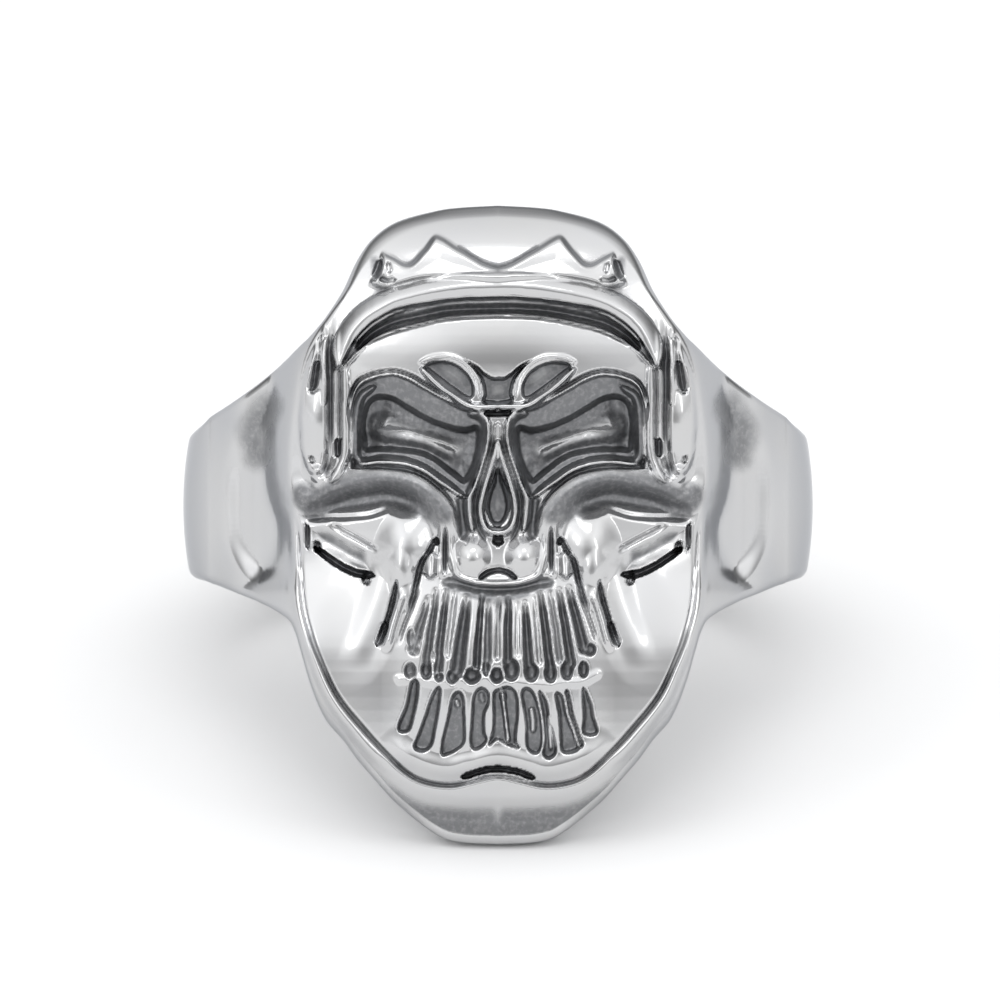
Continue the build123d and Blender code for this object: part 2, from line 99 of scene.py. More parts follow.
class SteelFinish(bpy.types.PropertyGroup):
    """Colours and polish of the steel."""

    steel: bpy.props.FloatVectorProperty(
        name="Steel", description="Reflection colour of the polished steel",
        default=(0.56, 0.565, 0.58), size=3, min=0.0, max=1.0, subtype="COLOR",
    )
    # Dark colour for the tarnish in the recesses and also for the painted shade.
    oxide_and_shade: bpy.props.FloatVectorProperty(
        name="Oxide", description="Colour of the dark patina left in the recesses",
        default=(0.21, 0.213, 0.22), size=3, min=0.0, max=1.0, subtype="COLOR",
    )
    polish: bpy.props.FloatProperty(
        name="Polish", description="Roughness of the polished steel",
        default=0.15, min=0.0, max=1.0, subtype="FACTOR",
    )


class Studio(bpy.types.PropertyGroup):
    """Floor, lamps and camera."""

    floor: bpy.props.FloatVectorProperty(
        name="Floor", description="Colour of the floor",
        default=(0.86, 0.86, 0.86), size=3, min=0.0, max=1.0, subtype="COLOR",
    )
    distance: bpy.props.FloatProperty(
        name="Camera distance", description="From the face to the camera",
        default=0.6, min=0.05, max=5.0, unit="LENGTH",
    )
    brightness: bpy.props.FloatProperty(
        name="Soft boxes", description="Brightness of the soft boxes against white card",
        default=1.0, min=0.0, max=20.0,
    )


# Materials: arithmetic on sockets, and nodes.


class Value:
    """A number socket in a material; arithmetic on it adds Math nodes."""

    def __init__(self, material, socket):
        self.material, self.socket = material, socket

    def _maths(self, operation, *terms):
        inputs = {i: t.socket if isinstance(t, Value) else t for i, t in enumerate(terms)}
        node = self.material.node("ShaderNodeMath", {"operation": operation}, inputs)
        return Value(self.material, node.outputs[0])

    def __add__(self, other):
        return self._maths("ADD", self, other)

    def __sub__(self, other):
        return self._maths("SUBTRACT", self, other)

    def __rsub__(self, other):
        return self._maths("SUBTRACT", other, self)

    def __mul__(self, other):
        return self._maths("MULTIPLY", self, other)

    def __pow__(self, other):
        return self._maths("POWER", self, other)

    __radd__ = __add__

    def between(self, low, high):
        """0 below low, 1 above high, and a smooth climb between."""
        node = self.material.node(
            "ShaderNodeMapRange",
            {"interpolation_type": "SMOOTHSTEP"},
            {0: self.socket, 1: low, 2: high, 3: 0.0, 4: 1.0},
        )
        return Value(self.material, node.outputs[0])


class Nodes:
    """Adds nodes to an emptied tree."""

    def __init__(self, tree):
        self.tree = tree
        tree.nodes.clear()

    def node(self, kind, settings=None, inputs=None):
        node = self.tree.nodes.new(kind)
        for name, value in (settings or {}).items():
            setattr(node, name, value)
        for name, value in (inputs or {}).items():
            value = value.socket if isinstance(value, Value) else value
            if isinstance(value, bpy.types.NodeSocket):
                self.tree.links.new(value, node.inputs[name])
            else:
                node.inputs[name].default_value = value
        return node


class Finish(Nodes):
    """A material under construction."""

    def __init__(self, name):
        self.made = bpy.data.materials.new(name)
        self.made.use_nodes = True
        super().__init__(self.made.node_tree)

    def attribute(self, name):
        node = self.node("ShaderNodeAttribute", {"attribute_name": name})
        return Value(self, node.outputs["Fac"])

    def noise(self, scale, detail=2.0, roughness=0.5, stretch=(1.0, 1.0, 1.0)):
        place = self.node("ShaderNodeTexCoord").outputs["Object"]
        place = self.node("ShaderNodeMapping", None, {"Vector": place, "Scale": stretch})
        node = self.node(
            "ShaderNodeTexNoise",
            None,
            {"Vector": place.outputs[0], "Scale": scale, "Detail": detail, "Roughness": roughness},
        )
        return Value(self, node.outputs["Fac"])

    def mix(self, share, first, second):
        node = self.node(
            "ShaderNodeMix", {"data_type": "RGBA"}, {0: share, 6: first, 7: second}
        )
        return node.outputs[2]

    def finish(self, shader):
        self.node("ShaderNodeOutputMaterial", None, {"Surface": shader.outputs[0]})
        return self.made


def steel_material(look):
    """Mirror-polished cast steel, darkened by its tarnish in the recesses and by painted shade in
    soft patches.
    """
    steel = Finish("cast_steel")
    # The attribute holds tarnish in the recesses and painted shade; both darken the steel the same
    # way.
    tarnish_and_shade_mask = steel.attribute("tarnish_and_shade")
    lumps = steel.noise(1400.0, 4.0, 0.6)
    grain = steel.noise(5200.0, 3.0, 0.6)
    blotch = steel.noise(420.0, 3.0, 0.55)
    scratch = steel.noise(900.0, 2.0, 0.7, (0.25, 6.0, 1.0))
    dark = (tarnish_and_shade_mask + (lumps - 0.5) * 0.20).between(0.28, 0.95)
    wear = (blotch - 0.5) * 0.03
    colour = steel.mix(wear.between(-0.03, 0.03), (*look.steel, 1.0), (0.60, 0.595, 0.585, 1.0))
    # This dark grainy colour is used both for the tarnish and for the painted shade.
    tarnish_and_shade_colour = steel.mix(grain.between(0.42, 0.72), (*look.oxide_and_shade, 1.0), (0.30, 0.30, 0.305, 1.0))
    colour = steel.mix(dark, colour, tarnish_and_shade_colour)
    rough = look.polish + dark * 0.30 + (scratch - 0.5) * 0.05 * (1.0 - dark)
    pits = (lumps - 0.5) * (0.10 + dark * 0.9) + (grain - 0.5) * dark * 0.6
    bump = steel.node(
        "ShaderNodeBump", None, {"Strength": 0.35, "Distance": 0.00006, "Height": pits}
    )
    shader = steel.node(
        "ShaderNodeBsdfPrincipled",
        None,
        {
            "Base Color": colour,
            "Metallic": 1.0,
            "Roughness": rough,
            "Normal": bump.outputs[0],
            "IOR": 2.5,
            "Specular Tint": (0.62, 0.63, 0.65, 1.0),
        },
    )
    return steel.finish(shader)


def floor_material(colour):
    """Pale matt card."""
    card = Finish("floor_card")
    fibre = card.noise(60.0, 3.0)
    shade = card.mix(fibre, (*[c * 0.985 for c in colour], 1.0), (*colour, 1.0))
    shader = card.node(
        "ShaderNodeBsdfPrincipled", None, {"Base Color": shade, "Roughness": 0.85}
    )
    return card.finish(shader)


# Curves, lines and distances.


def step(t):
    """0 below 0, 1 above 1, and a smooth climb between: 3 t squared less 2 t cubed."""
    t = np.clip(t, 0.0, 1.0)
    return t * t * (3.0 - 2.0 * t)


def larger(a, b, blend):
    """The larger of a and b, with their crossing rounded over the blend."""
    mix = np.clip(0.5 + 0.5 * (a - b) / blend, 0.0, 1.0)
    return b + (a - b) * mix + blend * mix * (1.0 - mix)


def curve_through(rows, closed=False, pieces=6):
    """A Catmull-Rom line through rows of numbers, as an array of points."""
    rows = np.array(rows, float)
    if closed:
        padded = np.vstack([rows[-1:], rows, rows[:2]])
    else:
        padded = np.vstack([2 * rows[0] - rows[1], rows, 2 * rows[-1] - rows[-2]])
    a, b, c, d = (p[:, None, :] for p in (padded[:-3], padded[1:-2], padded[2:-1], padded[3:]))
    t = np.linspace(0.0, 1.0, pieces, endpoint=False)[None, :, None]
    line = 0.5 * (
        2 * b + (c - a) * t + (2 * a - 5 * b + 4 * c - d) * t**2 + (3 * b - a - 3 * c + d) * t**3
    )
    line = line.reshape(-1, rows.shape[1])
    return line if closed else np.vstack([line, rows[-1:]])


def table_value(rows, at):
    """A value read along the smooth line of a two-column table."""
    line = curve_through(rows)
    return np.interp(at, line[:, 0], line[:, 1])


def distance_to(line, x, z):
    """Distance of each point from a line of straight pieces, and how far along it (0 to 1)."""
    nearest = np.full(x.shape, np.inf)
    place = np.zeros(x.shape)
    count = len(line) - 1
    for number, ((x0, z0), (x1, z1)) in enumerate(zip(line[:-1], line[1:])):
        dx, dz = x1 - x0, z1 - z0
        along = np.clip(((x - x0) * dx + (z - z0) * dz) / (dx * dx + dz * dz + 1e-12), 0.0, 1.0)
        away = np.hypot(x - x0 - along * dx, z - z0 - along * dz)
        place = np.where(away < nearest, (number + along) / count, place)
        nearest = np.minimum(nearest, away)
    return nearest, place


def depth_inside(outline, x, z):
    """Distance in from a closed outline's edge, and below 0 outside it."""
    ring = np.vstack([outline, outline[:1]])
    inside = np.zeros(x.shape, bool)
    for (x0, z0), (x1, z1) in zip(ring[:-1], ring[1:]):
        if z0 != z1:
            inside ^= ((z0 > z) != (z1 > z)) & (x < x0 + (z - z0) * (x1 - x0) / (z1 - z0))
    away, _ = distance_to(ring, x, z)
    return np.where(inside, away, -away)


def ripple(x, z, scale, seed):
    """Smooth lumps between -1 and 1: a sum of turned sine products at rising frequency."""
    total, weight = np.zeros(x.shape), 0.0
    turn, size = 0.7 + seed, 1.0
    for octave in range(4):
        c, s = math.cos(turn * (octave + 1)), math.sin(turn * (octave + 1))
        u, v = (x * c - z * s) / scale * size, (x * s + z * c) / scale * size
        wave = np.sin(u * 2.1 + seed * 5 + 1.3 * np.sin(v * 1.7 + seed))
        total += wave * np.cos(v * 1.9 + octave + seed * 3) / size
        weight += 1.0 / size
        size *= 1.9
    return total / weight


# The ring's front.

# The middle line seen from the side: up, forward.
PROFILE = (
    (-14.2, 11.85), (-12.7, 12.69), (-11.4, 13.45), (-10.4, 13.91), (-9.4, 14.29), (-6.6, 14.77),
    (-3.8, 14.71), (-1.5, 14.52), (1.5, 14.67), (4.06, 15.12), (6.35, 15.2), (8.4, 14.97),
    (9.8, 14.52), (10.9, 13.76), (11.9, 12.46), (12.7, 10.64),
)
SIDE_DROP = 2.3 / 64.0  # the mask falls back by this much times the square of its distance across
JAW_FLATTER = 0.5  # share of that which is gone in the jaw
CAST_WOBBLE = 0.03  # the carved lines wander by this much
HEAD_TOP, CHIN_FOOT = 11.9, 13.5  # ends of the head above and below the band's middle
# Half of the ring's outline seen from the front: across, upper end, lower end.
OUTLINE = (
    (0.0, 11.9, -13.5), (1.5, 11.82, -13.42), (2.5, 11.68, -13.08), (4.0, 11.26, -11.9),
    (4.95, 10.6, -10.85), (5.6, 9.7, -10.1), (6.15, 8.52, -9.35), (6.8, 7.5, -8.6),
    (7.2, 7.0, -7.8), (7.55, 6.62, -6.8), (7.8, 6.4, -5.9), (8.1, 6.12, -4.95),
    (8.5, 5.78, -4.45), (9.8, 4.85, -3.88), (10.6, 4.32, -3.6), (11.2, 3.95, -3.38),
    (11.65, 3.68, -3.22), (12.2, 3.3, -3.08), (12.75, 3.0, -3.0),
)
# Half of the mask's edge, from the middle of the crown down the side to the jaw.
SIDE_EDGE = (
    (-2.4, 11.5), (0.0, 11.5), (2.5, 11.25), (4.16, 10.62), (5.28, 9.6), (6.05, 8.4),
    (7.0, 7.25), (7.74, 5.7), (8.1, 3.9), (8.3, 2.0), (8.25, 0.6), (7.98, -0.8),
    (7.88, -2.2), (7.74, -3.8), (7.46, -5.0), (7.06, -6.1), (6.34, -7.6), (5.34, -8.85),
    (4.34, -9.95), (3.5, -10.7),
)
MASK_EDGE = SIDE_EDGE + (
    (2.7, -11.02), (1.8, -11.1), (0.9, -10.9), (0.0, -10.72), (-0.9, -10.9), (-1.8, -11.1),
)
# The flank falls away from this line, which runs straight under the chin.
FLANK_EDGE = SIDE_EDGE + ((2.6, -11.15), (1.3, -11.3), (0.0, -11.3), (-2.4, -11.3))
FLANK_SLOPE = 3.6  # beside the temples the flank falls this much for each millimetre outwards
# Where it is less steep: going up or down from a height, over a length, by how much.
Easing = namedtuple("Easing", "way start length by")
FLANK_EASED = (
    Easing(-1.0, 0.5, 3.5, 1.9), Easing(-1.0, 9.0, 2.2, 1.05), Easing(1.0, 8.0, 2.5, 2.6),
)
FLANK_BLEND = 0.45  # the flank runs into the plain metal round it over this much
JAW_ROUNDING = 0.30  # along the jaw the flank starts this far outside its edge
JAW_GROOVE_DEPTH, JAW_GROOVE_WIDTH = 0.24, 0.085
SHOULDER_EDGE = 0.92  # share of the band's radius where the shoulders' fronts end
# The plain metal round the mask: share of the way to that edge, forward.
PEDESTAL = (
    (-0.30, 12.1), (0.0, 12.4), (0.30, 12.1), (0.52, 11.15), (0.68, 9.78), (0.80, 8.74),
    (0.90, 7.40), (1.0, 5.6),
)
BAND_CROWN = 0.3  # the band's outside falls by this much towards its edges
BAND_SIDE_HALF = 3.0  # half of the band's width beside the finger
# The shallow dish in each shoulder.
DISH_DEPTH, DISH_WALL = 0.46, 0.85
SHOULDER_DISH = (
    (8.95, 4.6), (9.8, 3.9), (10.6, 2.9), (11.0, 1.6), (11.1, 0.0), (11.0, -1.5), (10.5, -2.5),
    (9.7, -3.2), (8.9, -3.7), (8.82, -2.0), (8.84, 1.0), (8.88, 3.4),
)
EYE_SOCKET = (
    (5.2, 4.16), (4.72, 4.42), (4.12, 4.34), (3.52, 3.98), (2.72, 3.5), (1.92, 3.2),
    (1.32, 3.1), (0.84, 3.18), (0.64, 2.95), (0.64, 2.4), (0.82, 1.6), (1.12, 1.04),
    (1.4, 0.84), (1.92, 1.22), (2.52, 1.68), (3.12, 1.94), (3.92, 2.08), (4.72, 2.1),
    (5.3, 2.1), (5.42, 2.6), (5.44, 3.5),
)

# Raised plates and sunk pits. Their wall lies inside the edge, and the slope is the further rise
# for each millimetre inside it, as far as the reach.
Plate = namedtuple("Plate", "name wall rise slope reach outline")
PLATES = (
    Plate("pointed plate", 0.30, 0.44, -0.12, 1.2, (
        (-2.4, 10.7), (-1.2, 10.05), (0.0, 9.52), (1.3, 10.12), (2.42, 10.76), (3.0, 10.2),
        (3.55, 9.62), (4.12, 9.88), (4.62, 10.06), (4.86, 9.4), (5.12, 8.72), (4.3, 8.5),
        (2.4, 8.85), (-2.4, 8.85))),
    Plate("groove under the brim", 0.14, -0.42, 0.0, 0.0, (
        (-2.0, 8.16), (0.0, 8.27), (2.0, 8.16), (3.9, 7.84), (4.9, 7.38), (5.6, 6.72),
        (6.1, 5.9), (6.28, 5.4), (5.98, 5.55), (5.5, 6.04), (4.9, 6.42), (3.9, 6.82), (2.0, 7.25),
        (0.0, 7.36), (-2.0, 7.25))),
    Plate("temple boss", 0.32, 0.42, 0.0, 0.0, (
        (6.92, 7.05), (7.24, 6.55), (7.66, 5.6), (7.94, 4.4), (8.02, 3.2), (7.9, 2.0),
        (7.6, 1.3), (7.2, 1.1), (6.84, 1.3), (6.66, 2.0), (6.62, 3.0), (6.62, 4.2),
        (6.68, 5.8), (6.78, 6.6))),
    Plate("lid", 0.16, -0.30, -0.30, 0.8, (
        (5.84, 1.5), (5.86, 2.9), (5.84, 4.2), (5.54, 4.78), (4.94, 5.1), (4.16, 5.22),
        (3.52, 5.04), (2.92, 4.70), (2.16, 4.28), (1.52, 3.92), (0.6, 3.66), (0.34, 3.1),
        (0.42, 2.3), (0.66, 1.5), (0.95, 0.7), (1.35, 0.28), (2.12, 0.80), (2.92, 1.34),
        (3.72, 1.62), (4.6, 1.68), (5.4, 1.6))),
    Plate("eye socket", 0.24, -0.75, -0.18, 0.9, EYE_SOCKET),
    Plate("dimple over the brow", 0.12, -0.32, -0.25, 0.4, (
        (2.94, 5.5), (2.6, 5.68), (2.04, 5.70), (1.52, 5.5), (1.12, 5.14), (0.92, 4.68),
        (0.96, 4.28), (1.22, 4.2), (1.72, 4.52), (2.32, 4.98), (2.8, 5.34))),
    Plate("frown", 0.12, -0.50, 0.0, 0.0, (
        (-1.0, 5.62), (0.0, 5.06), (0.45, 5.2), (0.8, 5.5), (1.38, 5.76), (0.96, 5.34),
        (0.66, 4.9), (0.56, 4.4), (0.54, 4.06), (-1.0, 4.06))),
    Plate("nose opening", 0.16, -0.55, -0.2, 0.3, (
        (0.0, 1.5), (0.24, 0.9), (0.42, 0.3), (0.45, -0.25), (0.22, -0.76), (-0.2, -0.78),
        (-0.45, -0.25), (-0.42, 0.3), (-0.24, 0.9))),
    Plate("plain below the cheek", 0.75, -0.40, 0.0, 0.0, (
        (7.5, -0.9), (6.5, -0.8), (5.7, -1.25), (4.9, -1.7), (4.8, -2.8), (5.5, -2.8),
        (6.1, -2.55), (7.2, -1.9))),
)

# Rolls (rise above 0) and grooves (below 0). A soft one has a smooth swell for its section, a
# fading one the same and dies away at both ends, and a round one has steep sides and a round crest.
Stroke = namedtuple("Stroke", "name half_width rise section path")
FADING, SOFT, ROUND = "fading", "soft", "round"
SWELL_REACH = 1.7  # no section reaches further than this many half widths
STROKES = (
    Stroke("brim", 0.46, 0.55, ROUND, (
        (-2.0, 8.56), (0.0, 8.69), (2.0, 8.56), (3.9, 8.16), (5.1, 7.56), (5.75, 6.9),
        (6.1, 6.2), (6.26, 5.6))),
    Stroke("pit at the end of the plate", 0.15, -0.24, SOFT, (
        (4.66, 9.66), (4.78, 9.3), (4.86, 9.0))),
    Stroke("lower pit there", 0.12, -0.20, SOFT, ((4.66, 8.96), (4.4, 8.86), (4.1, 8.9))),
    Stroke("nick in the plate", 0.09, -0.16, SOFT, ((4.36, 9.56), (4.30, 9.2))),
    Stroke("shelf in the groove", 0.13, 0.20, SOFT, (
        (-2.0, 8.0), (0.0, 8.1), (2.0, 8.0), (3.9, 7.64), (4.9, 7.16), (5.6, 6.5))),
    Stroke("thread in the groove", 0.07, 0.26, SOFT, (
        (-2.0, 7.40), (0.0, 7.52), (2.0, 7.40), (3.9, 6.98), (4.9, 6.58), (5.5, 6.14),
        (5.95, 5.66))),
    Stroke("bottom of the groove", 0.12, -0.22, SOFT, (
        (-2.0, 7.68), (0.0, 7.78), (2.0, 7.68), (3.9, 7.3), (4.9, 6.86), (5.6, 6.26))),
    Stroke("band beside the eye", 0.17, 0.22, ROUND, (
        (6.04, 5.5), (6.06, 4.2), (6.06, 2.2), (6.2, 1.5), (6.6, 0.95))),
    Stroke("seam beside the band", 0.05, -0.12, SOFT, ((6.29, 5.6), (6.29, 4.0), (6.3, 1.9))),
    Stroke("second band", 0.13, 0.10, FADING, ((6.40, 7.5), (6.44, 5.0), (6.48, 2.2))),
    Stroke("seam beside the boss", 0.05, -0.12, FADING, ((6.66, 7.2), (6.62, 5.0), (6.6, 2.1))),
    Stroke("pit under the bands", 0.10, -0.35, SOFT, ((6.4, 2.6), (6.38, 1.95))),
    Stroke("slot in the temple", 0.12, -0.26, SOFT, (
        (7.02, 6.7), (7.12, 6.0), (7.24, 5.2), (7.34, 4.6))),
    Stroke("foot of the temple slot", 0.24, -0.24, SOFT, ((7.14, 5.6), (7.26, 5.0), (7.36, 4.5))),
    Stroke("crest of the boss", 0.09, 0.20, SOFT, ((6.84, 6.6), (6.84, 5.4), (6.86, 4.0))),
    Stroke("hook", 0.22, 0.24, FADING, (
        (6.2, 2.4), (6.42, 1.5), (6.86, 1.04), (7.2, 1.0), (7.46, 1.3), (7.5, 1.8))),
    Stroke("eye of the hook", 0.12, -0.22, SOFT, ((7.42, 1.9), (7.36, 1.7))),
    Stroke("rim of the socket", 0.16, 0.46, ROUND, (
        (4.92, 4.66), (5.42, 4.28), (5.6, 3.6), (5.64, 2.6), (5.62, 1.96), (5.32, 1.7),
        (4.52, 1.80), (3.72, 1.72), (2.92, 1.42), (2.12, 0.9), (1.42, 0.40))),
    Stroke("rim beside the nose", 0.16, 0.42, SOFT, (
        (1.12, 3.62), (0.74, 3.56), (0.46, 3.2), (0.44, 2.5), (0.64, 1.62), (0.94, 0.84),
        (1.14, 0.3), (1.12, -0.4), (1.02, -1.0))),
    Stroke("bar under the dimple", 0.15, 0.36, ROUND, (
        (3.02, 5.36), (2.42, 4.8), (1.72, 4.26), (1.12, 3.92), (0.5, 3.88), (0.0, 3.9))),
    Stroke("rim of the dimple", 0.08, 0.12, SOFT, (
        (3.08, 5.64), (2.52, 5.86), (1.84, 5.86), (1.24, 5.54), (0.84, 5.0), (0.70, 4.28))),
    Stroke("line over the lid", 0.08, -0.32, FADING, (
        (5.92, 2.8), (5.88, 4.1), (5.58, 4.86), (4.96, 5.18), (4.14, 5.3), (3.46, 5.12),
        (2.86, 4.76), (2.1, 4.34), (1.4, 4.0))),
    Stroke("upper lump in the socket", 0.30, 0.14, FADING, (
        (4.9, 3.3), (4.0, 3.3), (3.0, 3.0), (1.5, 2.74))),
    Stroke("lower lump in the socket", 0.22, 0.16, FADING, (
        (4.6, 2.75), (3.2, 2.55), (2.2, 2.2), (1.4, 1.8))),
    Stroke("crease at the nose's root", 0.08, -0.5, SOFT, ((-0.5, 3.62), (0.0, 3.6), (0.5, 3.62))),
    Stroke("shaft of the nose", 0.14, 0.16, SOFT, ((0.0, 3.2), (0.0, 1.8))),
    Stroke("rim of the nose", 0.15, 0.40, SOFT, (
        (0.03, 2.5), (0.22, 1.7), (0.46, 0.95), (0.64, 0.25), (0.68, -0.4), (0.46, -0.94),
        (0.0, -1.1), (-0.46, -0.94))),
    Stroke("line beside the nose", 0.08, -0.10, SOFT, (
        (0.24, 3.2), (0.26, 2.3), (0.5, 1.6), (0.78, 0.7), (0.88, -0.1), (0.76, -0.9),
        (0.5, -1.4))),
    Stroke("pit under the nose", 0.16, -0.44, SOFT, ((0.0, -1.42), (0.14, -1.46))),
    Stroke("fold round the wing", 0.13, 0.20, FADING, (
        (1.9, -0.6), (1.9, -1.4), (1.84, -2.1), (1.6, -2.76), (1.1, -3.02), (0.5, -3.1),
        (-0.5, -3.1), (-1.1, -3.02))),
    Stroke("notch under the nose", 0.09, -0.34, SOFT, (
        (-0.7, -2.86), (-0.34, -2.64), (0.0, -2.56), (0.34, -2.64), (0.7, -2.86))),
    Stroke("gum line", 0.20, -0.24, FADING, (
        (-1.9, -3.08), (-1.0, -3.24), (0.0, -3.34), (1.0, -3.24), (1.9, -3.04), (2.4, -3.05))),
    Stroke("channel beside the nose", 0.20, -0.22, FADING, (
        (1.50, 0.5), (1.47, -0.1), (1.42, -0.8), (1.34, -1.5))),
    Stroke("line over the roll", 0.06, -0.2, FADING, (
        (6.2, 1.46), (5.6, 1.5), (4.72, 1.5), (3.72, 1.42), (2.92, 1.12), (2.2, 0.58),
        (1.74, 0.0), (1.62, -0.6))),
    Stroke("roll under the eye", 0.46, 0.50, FADING, (
        (8.22, 1.3), (7.95, 0.56), (7.3, 0.22), (6.52, 0.66), (5.52, 0.98), (4.52, 1.08),
        (3.72, 0.94), (3.04, 0.64), (2.5, 0.20), (2.14, -0.4), (1.98, -1.05), (1.96, -1.6))),
    Stroke("hollow under the roll", 0.50, -0.52, FADING, (
        (7.9, -0.12), (7.2, -0.1), (6.2, 0.02), (5.32, 0.16), (4.4, 0.3), (3.6, 0.12),
        (2.9, -0.4))),
    Stroke("fold under the hollow", 0.12, -0.12, FADING, (
        (7.9, -0.5), (6.6, -0.5), (5.2, -0.42), (4.2, -0.1))),
    Stroke("second lobe", 0.26, 0.40, SOFT, ((2.62, -1.95), (2.7, -2.8))),
    Stroke("split in the cheekbone", 0.08, -0.30, FADING, (
        (2.36, -1.0), (2.7, -1.8), (3.02, -2.28), (3.2, -3.0), (3.4, -3.68), (3.66, -4.4))),
    Stroke("pit above that split", 0.09, -0.3, SOFT, ((2.46, -1.35), (2.42, -1.55))),
    Stroke("thread beside the nose", 0.07, 0.14, FADING, ((2.24, -0.7), (2.28, -3.0))),
    Stroke("line beside that thread", 0.06, -0.18, FADING, ((2.10, -0.7), (2.10, -2.9))),
    Stroke("step of the cheek", 0.12, -0.20, FADING, ((6.8, -0.7), (5.72, -1.28), (4.7, -1.85))),
    Stroke("slit under the cheek", 0.13, -0.75, ROUND, (
        (7.2, -1.75), (6.72, -2.1), (6.12, -2.48), (5.52, -2.72), (4.96, -2.76))),
    Stroke("outer end of that slit", 0.13, -0.4, SOFT, ((7.16, -1.5), (7.2, -1.85))),
    Stroke("inner end of that slit", 0.13, -0.36, SOFT, ((5.3, -2.8), (5.2, -3.1))),
    Stroke("slot beside the slit", 0.08, -0.40, SOFT, ((7.56, -0.8), (7.58, -1.7))),
    Stroke("cord of the jaw", 0.46, 0.11, FADING, (
        (4.3, -1.9), (4.64, -3.0), (5.0, -4.2), (5.36, -5.2), (5.8, -6.5))),
    Stroke("slot in the cord", 0.08, -0.34, FADING, (
        (4.0, -2.9), (4.14, -3.6), (4.4, -4.6), (4.75, -5.6))),
    Stroke("wide end of that slot", 0.14, -0.22, SOFT, ((4.44, -4.7), (4.78, -5.55))),
    Stroke("second cord", 0.17, 0.28, FADING, ((3.75, -3.3), (4.1, -4.5), (4.5, -5.9))),
    Stroke("edge of the teeth", 0.07, -0.16, FADING, ((3.1, -3.2), (3.5, -4.2), (4.0, -5.6))),
    Stroke("chin ridge", 0.40, 0.34, FADING, (
        (-3.6, -10.0), (-2.0, -10.44), (-1.0, -10.24), (0.0, -10.0), (1.0, -10.24),
        (2.0, -10.44), (3.0, -10.22), (3.8, -9.7), (4.5, -9.0))),
    Stroke("slit in the chin", 0.12, -0.65, ROUND, (
        (-0.6, -10.52), (0.0, -10.46), (0.7, -10.56), (1.4, -10.8))),
    Stroke("thread in that slit", 0.05, 0.2, SOFT, ((-0.6, -10.62), (0.3, -10.6), (1.0, -10.75))),
    Stroke("crest of the jaw", 0.20, 0.18, FADING, (
        (8.3, 1.0), (8.12, -0.8), (8.04, -2.4), (7.94, -3.9), (7.66, -5.1), (7.26, -6.2),
        (6.6, -7.75), (5.62, -9.1), (4.6, -10.25), (3.4, -11.4))),
)

# Smooth domes. Their turn is in degrees.
Bulb = namedtuple("Bulb", "name centre half_width half_height turn rise")
BULBS = (
    Bulb("head of the cheekbone", (3.74, -1.66), 1.20, 1.60, 8, 0.64),
    Bulb("foot of the cheekbone", (3.78, -3.0), 0.64, 1.30, -6, 0.32),
    Bulb("wing of the nose", (1.04, -2.04), 0.84, 0.94, 0, 0.60),
    Bulb("drop in the hook", (7.14, 1.24), 0.36, 0.40, 0, 0.30),
    Bulb("boss of the temple", (7.3, 3.3), 0.66, 1.40, 0, 0.24),
    Bulb("lump in the socket", (4.5, 3.1), 0.80, 0.70, 0, 0.20),
    Bulb("shallow of the jaw", (5.6, -4.6), 1.70, 3.00, 12, -0.15),
    Bulb("swell of the forehead", (0.0, 6.2), 6.00, 1.60, 0, 0.22),
)

# The swell of the mouth: height, its middle up the face, half sizes, and where its ends run out.
MOUTH_SWELL, MOUTH_MIDDLE = 0.60, -6.6
MOUTH_HALF_WIDTH, MOUTH_HALF_HEIGHT, MOUTH_ENDS = 3.9, 3.2, 4.6
# The teeth are cut into that swell. They aren't symmetric: across is signed in their tables.
TEETH_DEPTH = 1.5  # times the depths in the tables
TEETH_REACH, TEETH_TOP, TEETH_BOTTOM = 4.3, -3.0, -10.3
# Valleys between the upper ribs.
Valley = namedtuple("Valley", "top foot half_width depth")
VALLEYS = (
    Valley((-2.76, -3.7), (-3.36, -5.72), 0.20, 0.20),
    Valley((-2.46, -3.4), (-2.84, -6.4), 0.18, 0.22),
    Valley((-2.04, -3.4), (-2.40, -6.52), 0.19, 0.24),
    Valley((-1.68, -3.4), (-1.98, -5.9), 0.15, 0.14),
    Valley((-1.22, -3.7), (-1.62, -6.52), 0.26, 0.30),
    Valley((-0.64, -3.6), (-0.84, -6.36), 0.16, 0.28),
    Valley((-0.40, -3.9), (-0.44, -6.12), 0.20, 0.22),
    Valley((0.04, -3.7), (-0.04, -6.0), 0.14, 0.16),
    Valley((0.40, -3.7), (0.40, -6.2), 0.18, 0.26),
    Valley((0.78, -3.9), (0.78, -5.9), 0.14, 0.10),
    Valley((1.06, -3.9), (1.22, -6.36), 0.19, 0.26),
    Valley((1.46, -3.7), (1.66, -6.2), 0.12, 0.12),
    Valley((1.68, -3.5), (2.06, -6.36), 0.18, 0.28),
    Valley((2.06, -3.5), (2.44, -6.12), 0.15, 0.18),
    Valley((2.42, -3.4), (2.88, -6.28), 0.18, 0.26),
    Valley((2.80, -3.3), (3.44, -5.70), 0.19, 0.26),
)
